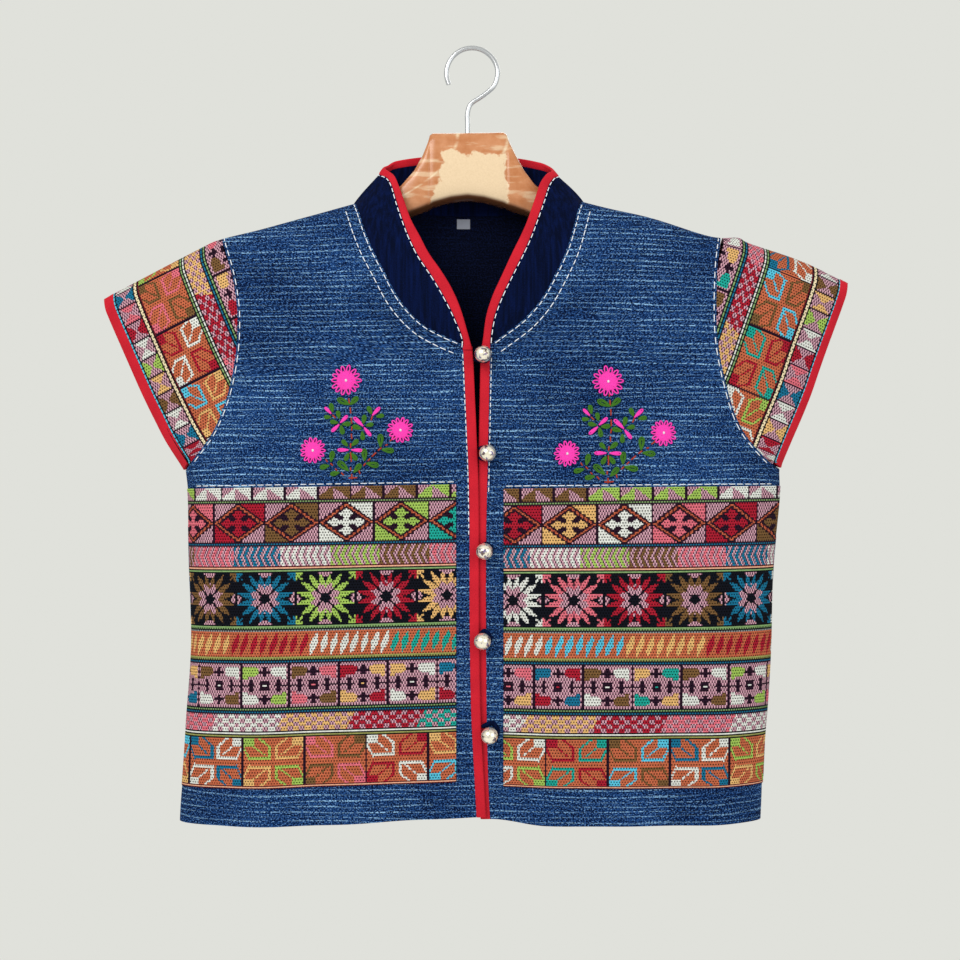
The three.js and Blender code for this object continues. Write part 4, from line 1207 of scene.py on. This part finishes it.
def cords(name, paths, radius, sides=6):
    """Round cords along paths in millimetres, made as one curve and turned to a mesh."""
    curve = bpy.data.curves.new(name, "CURVE")
    curve.dimensions = "3D"
    curve.bevel_depth = radius * MM
    curve.bevel_resolution = max(0, sides // 2 - 2)
    curve.use_fill_caps = True
    for path in paths:
        spline = curve.splines.new("POLY")
        spline.points.add(len(path) - 1)
        for point, place in zip(spline.points, path):
            point.co = (*(float(part) * MM for part in place), 1)
    piece = bpy.data.objects.new(name, curve)
    bpy.context.collection.objects.link(piece)
    bpy.ops.object.select_all(action="DESELECT")
    piece.select_set(True)
    bpy.context.view_layer.objects.active = piece
    bpy.ops.object.convert(target="MESH")
    bpy.ops.object.shade_smooth()
    return bpy.context.active_object


# %% Buttons
BUTTONS = [(8.9, -252.7), (12.5, -330.9), (10.1, -408.7), (8.5, -479.8), (14.1, -554.4)]
BALL = 6.7
BALL_GAP = 0.9  # from the binding's face to the ball
SHANK = 1.4  # half its thickness
LOOPS = [  # how far above its ball's middle each one sits, its radius, its cord's radius
    (0, 5.9, 1.2), (0, 5.9, 1.2), (0.5, 6, 1.2), (1.9, 6.2, 1.7), (2.7, 6.6, 1.9),
]

silver = Finish("silver", Metallic=0.72)
silver_place = silver.in_space()
# the brown and purple spots on the pale silver are painted reflections of the room round the balls; the
# same noise also varies the gloss
painted_reflection_noise = silver.noise(silver_place, 330, 2)
painted_reflection_mask = ((silver.noise(silver_place, 290, 3) - 0.53) * 18).clamp()
painted_reflection_colour = silver.mix(((painted_reflection_noise - 0.5) * 9 + 0.5).clamp(), paint(84, 52, 60), paint(112, 100, 150))
silver.colour(silver.mix(painted_reflection_mask * 0.9, paint(248, 240, 220), painted_reflection_colour))
silver.rough(0.12 + painted_reflection_noise * 0.2)


def edge_x(z):
    """How far across the fold of the right front's binding is, at a height."""
    x_of_rows, z_of_rows = zip(*[row[:2] for row in RIGHT_ROWS[:NECK + 1]])
    return float(np.interp(z, z_of_rows, x_of_rows)) + BINDING_WIDTH


def rim_y(z):
    """Where the face of that binding is, front to back."""
    return -FRONT_DEPTH - FRONT_FACE + float(ripple(edge_x(z) - BINDING_WIDTH, z))


for number, (x, z) in enumerate(BUTTONS, 1):
    centre = rim_y(z) - BALL_GAP - BALL
    bpy.ops.object.select_all(action="DESELECT")
    bpy.ops.mesh.primitive_uv_sphere_add(segments=40, ring_count=24, radius=BALL * MM,
                                         location=(x * MM, centre * MM, z * MM),
                                         rotation=(math.radians(90), 0, 0))
    ball = bpy.context.active_object
    bpy.ops.object.transform_apply(location=True, rotation=True, scale=True)
    ball.name = f"button_{number}_ball"
    foot = float(on_front(12.0, z)) - FRONT_FACE - 0.5
    for vertex in ball.data.vertices:
        out = math.hypot(vertex.co.x / MM - x, vertex.co.z / MM - z)
        if out < SHANK and vertex.co.y / MM > centre:
            vertex.co.y = foot * MM
    dress(ball, silver)
    bpy.ops.object.shade_smooth()
    settle(ball, "button", f"button_{number}")
print("ball buttons:", len(BUTTONS))

# %% Loops


def loop_path(x, z, radius, thick):
    start = edge_x(z) + 1.5
    near = min(start + 1.6, x - 0.3)
    face = rim_y(z) - 0.5 - thick
    rim = rim_y(z) + 0.7
    knots = [(start, rim, z + 3.4), (near, mix(rim, face, 0.6), z + 4.6)]
    for angle in np.radians(np.arange(78, -79, -19.5)):
        knots.append((x + radius * math.cos(angle), face, z + radius * math.sin(angle)))
    knots += [(near, mix(rim, face, 0.6), z - 4.6), (start, rim, z - 3.4)]
    return along_stations(np.array(knots), 60)


for number, ((x, z), (rise, radius, thick)) in enumerate(zip(BUTTONS, LOOPS), 1):
    loop = cords(f"loop_{number}_cord", [loop_path(x, z + rise, radius, thick)], thick, 10)
    dress(loop, indigo)
    settle(loop, "loop_cloth", f"loop_{number}")

# %% [markdown]
# ## Running stitches
#
# White thread runs in short stitches along the neckline, the collar's binding, the front bindings,
# the panels' top edges and the armholes. A stitch is a bit of cord that bows out of the cloth and
# dips back in, so each row is stepped off along its line and made of many short cords.

# %% Stitch rows
# from one stitch to the next, and how long a stitch is
NECK_STITCH, EDGE_STITCH, ARM_STITCH = (6.6, 4.4), (5.2, 2.9), (9.0, 5.4)
PANEL_STITCH, COLLAR_STITCH = (6.9, 4.9), (6.5, 4.1)
THREAD = 0.38  # half its thickness
COVERED = {-1: -398, 1: -364}  # below this height a front's binding covers its stitches
thread = Finish("white_thread", Base_Color=(*paint(226, 232, 240), 1), Roughness=0.8)
stitch_dice = np.random.default_rng(12)


def front_line(x, z, proud=0.45):
    x, z = np.asarray(x, float), np.asarray(z, float)
    return np.stack([x, on_front(x, z) - proud, z], axis=1)


def back_line(x, z, proud=0.45):
    x, z = np.asarray(x, float), np.asarray(z, float)
    return np.stack([x, on_back(x, z) + proud, z], axis=1)


def stitches(line, pitch, dash, out):
    """Short bowed cords along a line of points; out is the way that they stand off the cloth."""
    run = np.concatenate([[0], np.cumsum(np.linalg.norm(np.diff(line, axis=0), axis=1))])
    paths = []
    out = np.broadcast_to(np.asarray(out, float), line.shape)
    for start in np.arange(pitch * 0.3, run[-1] - dash, pitch):
        length = dash * stitch_dice.uniform(0.88, 1.1)
        at = start + np.linspace(0, length, 5)
        points = np.stack([np.interp(at, run, line[:, i]) for i in range(3)], axis=1)
        away = np.stack([np.interp(at, run, out[:, i]) for i in range(3)], axis=1)
        points += away * (np.array([-0.6, -0.05, 0.1, -0.05, -0.6]))[:, None]
        paths.append(points)
    return paths


def beside(x, z, amount):
    """A line moved sideways in the plane of the front, to its left as it runs."""
    step = unit(np.stack([np.gradient(x), np.gradient(z)], axis=1))
    return x - step[:, 1] * amount, z + step[:, 0] * amount


white_rows = {}
FORWARD, BACKWARD = (0, -1, 0), (0, 1, 0)
for name, table, side in (("front_right", RIGHT_ROWS, -1), ("front_left", LEFT_ROWS, 1)):
    at = np.linspace(NECK + 0.15, SHOULDER - 1.3, 240)
    x, z = rows_of(table, 0, at, NECK), rows_of(table, 1, at, NECK)
    rows = stitches(front_line(*beside(x, z, side * -1.6), 0.5), *NECK_STITCH, FORWARD)
    rows += stitches(front_line(*beside(x, z, side * -9.8)), *NECK_STITCH, FORWARD)
    at = np.linspace(0.1, NECK - 0.3, 400)
    x, z = rows_of(table, 0, at, NECK), rows_of(table, 1, at, NECK)
    bare = z > COVERED[side]
    rows += stitches(front_line(x[bare] + (-0.2 if side < 0 else 0.8), z[bare]), *EDGE_STITCH, FORWARD)
    at = np.linspace(SLEEVE_START + 0.4, SHOULDER - 0.6, 260)
    x, z = rows_of(table, 2, at, UNDERARM), rows_of(table, 3, at, UNDERARM)
    rows += stitches(front_line(*beside(x, z, side * 1.9)), *ARM_STITCH, FORWARD)
    rows += stitches(back_line(*beside(x, z, side * 1.9)), *ARM_STITCH, BACKWARD)
    inner, ends = (RIGHT_INNER, (10.35, 10.18)) if side < 0 else (LEFT_INNER, (10.2, 10.06))
    share = np.linspace(1, 0.03, 300)
    top = mix(ends[0], ends[1], share)
    edge_at, side_at = rows_of(table, 0, top[0], NECK), rows_of(table, 2, top[0], UNDERARM)
    x, y, z = front_place(table, share * (inner - side_at) / (edge_at - side_at), top)
    rows += stitches(front_line(x, z), *PANEL_STITCH, FORWARD)
    white_rows[name] = rows

share = np.linspace(NECK_RIGHT + 0.02, NECK_LEFT - 0.02, 200)
x, _, z = back_top(share)
neck_rows = stitches(back_line(x, z - 1.8, 0.4), *NECK_STITCH, BACKWARD)
neck_rows += stitches(back_line(x, z - 10.5, 0.4), *NECK_STITCH, BACKWARD)

collar_stitch = collar_base - 0.9 * unit(collar_fold - collar_base)
collar_rows = stitches(collar_stitch + collar_out * COLLAR_FACE, *COLLAR_STITCH, collar_out)

white_rows["back_neck"] = neck_rows
white_rows["collar"] = collar_rows
for name, rows in white_rows.items():
    piece = cords(name + "_stitches", rows, THREAD)
    dress(piece, thread)
    settle(piece)
    print(piece.name, len(rows))

# %% [markdown]
# ## Embroidered sprigs
#
# The sprigs are worked in lazy daisy stitch: a loop of thick thread is laid on the cloth and held at
# its tip by a tiny stitch. Petals, buds and leaves are all such loops, long or short, and the stems
# are running stitches. Four short tables give one sprig, in millimetres from its foot.

# %% Sprig tables
# daisies: centre x, z and radius; leaves, buds and stem stitches: from x, z to x, z
DAISIES = [(0.1, 80.8, 12.0), (44.5, 40.0, 10.2), (-32.4, 23.4, 10.0)]
LEAVES = [
    (1.9, 61, -8, 65.7), (2.6, 61, 9.4, 67.1), (-7.7, 49.7, -8.7, 55.7), (-9.1, 46.1, -15.5, 47.2),
    (-6.6, 44, -5.5, 36.9), (-5.5, 44.7, 1.6, 45.4), (-13, 55, -14.4, 61.8), (-14.8, 50.8, -20.4, 50.8),
    (12.9, 45.4, 14.3, 52.2), (15, 43.7, 21.1, 45.1), (10.8, 41.2, 3.7, 43.3), (11.5, 39, 11.5, 32.3),
    (20.4, 53.2, 17.9, 59.3), (24.3, 51.1, 30.7, 52.2), (-2, 27, -6.2, 31.6), (1.6, 27.3, 7.2, 31.9),
    (-1.3, 21.3, -4.8, 15.3), (1.2, 21.3, 5.1, 15.6), (26.4, 26.3, 27.1, 36.6), (27.5, 24.1, 37.4, 23.1),
    (11.9, 14.9, 12.2, 24.5), (13.3, 12.8, 23.6, 11), (-17.2, 14.2, -15.1, 22.7), (-19, 11, -26.8, 9.2),
    (-10.5, 5.3, -18, 3.9), (-2.3, 6.7, -10.9, 14.2), (1.9, 5.3, 8.3, 12.1),
]
BUDS = [
    (-7, 46.1, -0.6, 51.8), (-8, 44.7, -14.8, 39), (-14.4, 53.6, -19.4, 58.6), (12.6, 43.3, 5.1, 50.4),
    (13.3, 42.2, 18.6, 35.5), (21.1, 52.2, 27.8, 58.6), (-1.3, 23.8, -10.5, 23.8), (1.2, 23.8, 10.4, 23.4),
]
STEMS = [
    (1.2, 71.3, 1.3, 68.9), (1.6, 66, 1.9, 61), (2.3, 58.6, 2.5, 53.9), (2.6, 50.4, 2.8, 45.4),
    (2.8, 42.9, 2.3, 39.8), (1.9, 36.9, 2.1, 33), (0.9, 29.1, 0.5, 25.6), (0.3, 22, 0.5, 14.2),
    (-0.6, 9.2, -0.6, 7.1), (0.1, 3.9, 0, 0), (-2.7, 0.7, 4.4, 1.1), (7.2, 4.3, 6.5, 7.1),
    (10.8, 11, 12.6, 12.8), (15, 14.9, 16.8, 16.7), (18.6, 18.5, 22.1, 21.6), (24.3, 23.4, 27.1, 25.6),
    (31, 27.7, 32.4, 28), (34.9, 30.9, 38.8, 34.4), (-7, 3.2, -8.7, 5), (-12.5, 7, -13.7, 8.3),
    (-16, 11.2, -17.5, 12.8), (-20.3, 14.1, -21.5, 16), (-13.3, 52.4, -11.1, 50.3),
    (19.7, 48.3, 21.1, 51.8),
]
SPRIGS = [((108.3, -354.6), (1.0, 1.0), 0.0), ((-95.3, -351.4), (0.92, 0.97), -0.06)]  # foot; size; lean

# %% Loops of thread on the cloth
PETALS = 14  # of each daisy, one long loop and one short one inside it for each
sprig_dice = np.random.default_rng(5)


def loop_of(base, tip, fat, lift):
    """A lazy daisy loop from base to tip; fat is half its width, lift how far it stands off."""
    base, tip = np.array(base, float), np.array(tip, float)
    run = tip - base
    side = np.array([-run[1], run[0]]) / np.linalg.norm(run)
    turn = np.linspace(0, 2 * np.pi, 15)
    share = (1 - np.cos(turn)) / 2
    wide = fat * np.sin(turn) * share ** 0.6
    x = base[0] + run[0] * share + side[0] * wide
    z = base[1] + run[1] * share + side[1] * wide
    return front_line(x, z, lift)


def dash_of(ax, az, bx, bz, lift):
    share = np.linspace(0, 1, 5)
    line = front_line(mix(ax, bx, share), mix(az, bz, share), lift)
    line[:, 1] += np.array([0.5, 0, -0.1, 0, 0.5])
    return line


def sprig_threads(foot, stretch, lean):
    spot = lambda x, z: (foot[0] + x * stretch[0] + z * lean, foot[1] + z * stretch[1])
    pink, white, green, rust = [], [], [], []
    for x, z, radius in DAISIES:
        centre = np.array(spot(x, z))
        for number in range(PETALS):
            turn = 2 * np.pi * (number + sprig_dice.uniform(-0.12, 0.12)) / PETALS
            way = np.array([np.cos(turn), np.sin(turn)])
            far = radius * sprig_dice.uniform(0.93, 1.04)
            root = centre + way * 0.8
            lift = 0.55 + 0.25 * (number % 2)
            pink.append(loop_of(root, centre + way * far, 0.15 * radius, lift))
            pink.append(loop_of(root, centre + way * far * 0.62, 0.05 * radius, 0.7))
        white.append(loop_of(centre - (0.5, 0), centre + (0.5, 0), 0.8, 1.25))
    for ax, az, bx, bz in LEAVES:
        base, tip = np.array(spot(ax, az)), np.array(spot(bx, bz))
        fat = 0.22 * np.linalg.norm(tip - base) + 0.5
        green.append(loop_of(base, tip, fat, 0.5))
        green.append(loop_of(mix(base, tip, 0.08), mix(base, tip, 0.85), fat * 0.45, 0.7))
    for ax, az, bx, bz in BUDS:
        base, tip = np.array(spot(ax, az)), np.array(spot(bx, bz))
        pink.append(loop_of(base, tip, 0.16 * np.linalg.norm(tip - base), 0.6))
        pink.append(loop_of(base, mix(base, tip, 0.8), 0.5, 0.75))
    for ax, az, bx, bz in STEMS:
        rust.append(dash_of(*spot(ax, az), *spot(bx, bz), 0.45))
    return pink, white, green, rust


# %% Sprigs
EMBROIDERY = [("pink", (255, 66, 186), 0.62), ("knots", (244, 226, 240), 0.62),
              ("green", (62, 116, 30), 0.66), ("rust", (176, 62, 42), 0.62)]
sprigs = [sprig_threads(*sprig) for sprig in SPRIGS]
for number, (name, colour, radius) in enumerate(EMBROIDERY):
    floss = Finish(name + "_floss", Roughness=0.7, Specular_IOR_Level=0.15)
    sheen = floss.noise(floss.in_space(), 900, 2)
    floss.colour(floss.mix(sheen, paint(*[c * 0.8 for c in colour]), paint(*colour)))
    floss.bump(sheen, 0.0002, 0.6)
    piece = cords("sprigs_" + name, [path for sprig in sprigs for path in sprig[number]], radius)
    dress(piece, floss)
    settle(piece)
print("petals and buds:", sum(len(sprig[0]) for sprig in sprigs))

# %% [markdown]
# ## Hanger
#
# The hanger is a sawn and rounded board under thick lacquer. Its outline is drafted by stations along
# its length, each with a top, a bottom and a thickness, and every section is an oblong with soft
# corners, so the board thins toward its arms.

# %% Hanger stations: x, top, bottom, half the thickness; an arm's top follows the shoulder line
HANGER = [
    (-190, -155.5, -168, 3), (-186, None, -171, 5.6), (-160, None, -168.5, 6), (-130, None, -163.5, 6),
    (-110, None, -157.5, 6), (-97, None, -152.5, 6), (-84, -126.2, -147, 6.5), (-70, -119.5, -141.5, 8),
    (-57.7, -111.3, -136.5, 9), (-47, -99.1, -132.5, 9.5), (-40.4, -87, -129.8, 9.5),
    (-36, -76, -128, 9.5), (-34.4, -70.2, -127.2, 9), (-32, -68.7, -125.8, 9.5), (-17, -68.7, -121.8, 9.5),
    (-3.5, -68.5, -120.3, 9.5), (10, -68.3, -121.9, 9.5), (26, -68, -126.2, 9.5), (28.4, -69.8, -127.4, 9),
    (30.6, -76, -128.2, 9.5), (36, -87, -130, 9.5), (42.5, -99.1, -132.6, 9.5), (51.5, -111, -136.5, 9),
    (64, -119.5, -141.5, 8), (78, -126, -147, 6.5), (92, -130.2, -152.5, 6), (105, None, -157.5, 6),
    (128, None, -163.5, 6), (158, None, -168.5, 6), (184, None, -171, 5.6), (188, -158, -168, 3),
]


def hanger_place(across, up):
    rows = []
    for x, top, bottom, half in HANGER:
        rows.append((x, float(top_line(x)) - CLOTH - 1.1 if top is None else top, bottom, half))
    at = up[:, 0] * (len(rows) - 1)
    stations = range(len(rows))
    x, top, bottom, half = [np.interp(at, stations, column)[:, None] for column in zip(*rows)]
    turn = across[:1] * 2 * np.pi
    round_ = lambda value: np.sign(value) * np.abs(value) ** 0.45
    y = -half * round_(np.cos(turn))
    z = mix(bottom, top, 0.5 + 0.5 * round_(np.sin(turn)))
    slope = 4 * np.clip(1 - (np.abs(x + 3.5) - 40) / 60, 0, 1)
    low = np.clip((mix(bottom, top, 0.3) - z) / (0.3 * (top - bottom)), 0, 1)
    return np.stack([np.broadcast_to(x, y.shape), y, z - slope * low * (y / half + 1) / 2], axis=2)


# %% [markdown]
# The lacquer is tan with pale grain. The cream in the middle of the board, along its right rim and in
# a thin wisp is painted highlight from the gloss, and the underside is painted darker as shade.

# %% Lacquer finish with painted highlights and painted shade
wood = Finish("lacquered_wood", Roughness=0.24, Specular_IOR_Level=0.35, Coat_Weight=0.15,
              Coat_Roughness=0.3)
wood_place = wood.in_space()
across, _, height = wood.split(wood_place)
grain = wood.noise(wood.stretch(wood_place, (30, 30, 160)), 1, 4)
cloud = wood.noise(wood_place, 62, 5, 0.62)
speck = wood.noise(wood_place, 900, 2)
tan = wood.mix((cloud * 1.8 + grain * 0.8 - 0.9).clamp(), paint(172, 104, 56), paint(206, 148, 108))
pale_grain_and_highlight = wood.mix(speck, paint(208, 182, 148), paint(226, 202, 168))
# the cream patch in the middle, the wisp near the top and the right rim are painted highlights of the gloss
lean = height + 0.1
beside_highlight = (across - 0.0005 - lean * 0.09).size() / (lean * -0.15 + 0.0282)
highlight_wisp = ((across - 0.009 + (height + 0.071) * (height + 0.071) * 18).size() * 30 - 0.62).size() * -20 + 1.2
# bare marks where the cream painted highlight covers the tan lacquer
bare = ((beside_highlight.or_more((height + 0.086) * 30 + 1) - 1) * -1 + (cloud - 0.5) * 0.9) * 16
rim = ((across - 0.0245 + (height + 0.068) * 0.5) * 60 + (cloud - 0.5) * 3).clamp()
bare = bare.clamp().or_more(rim * 0.8).or_more(highlight_wisp.clamp() * (grain * 4 - 1.5).clamp())
streak = ((grain - 0.56) * 12).clamp() * 0.55
# faces that look down are painted dark brown: the shade under the board is painted into the colour
painted_underside_shade = wood.split(wood.node("ShaderNodeNewGeometry", {}, {}, output=1))[2] * -3 - 1.2
lacquer_and_highlights = wood.mix(bare, wood.mix(streak, tan, pale_grain_and_highlight), pale_grain_and_highlight)
wood.colour(wood.mix(painted_underside_shade.clamp(), lacquer_and_highlights, paint(92, 56, 34)))

# %% Hanger board
hanger, _, _ = lay("hanger_board", 32, 150, hanger_place, (0, -1, 0))
turn_out(merge=0.01, close=True)
dress(hanger, wood)
bpy.ops.object.shade_smooth_by_angle(angle=math.radians(50))
settle(hanger, "wood", "hanger")

# %% Hook
HOOK_RADIUS, HOOK_CENTRE, HOOK_WIRE = 21, -19, 2.0
steel = Finish("steel", Base_Color=(*paint(196, 198, 202), 1), Metallic=1.0, Roughness=0.24)
hook_knots = [(-3.7, 0, -69.5), (-3.7, 0, -60), (-3.7, 0, -52), (-1, 0, -44), (9, 0, -37), (18, 0, -29)]
for angle in np.radians(np.arange(0, 206, 20.5)):
    hook_knots.append((HOOK_RADIUS * math.cos(angle), 0, HOOK_CENTRE + HOOK_RADIUS * math.sin(angle)))
hook = cords("hook_wire", [along_stations(np.array(hook_knots, float), 110)], HOOK_WIRE, 12)
dress(hook, steel)
settle(hook, "steel", "hanger_hook")

# %% Size tab, left bare
TAB_ACROSS, TAB_UP = (-12.8, -1.8), (-142, -134)
tab_cloth = Finish("tab", Base_Color=(*paint(146, 150, 164), 1), Roughness=0.9)


def tab_place(across, up):
    x, z = mix(*TAB_ACROSS, across), mix(*TAB_UP, up)
    return raised(np.stack([x, on_back(x, z), z], axis=2), CLOTH + 0.5, (0, -1, 0))


tab, _, _ = lay("tab_cloth", 12, 9, tab_place, (0, -1, 0))
dress(tab, tab_cloth)
thicken(tab, 0.6)
settle(tab, "label", "size_label")
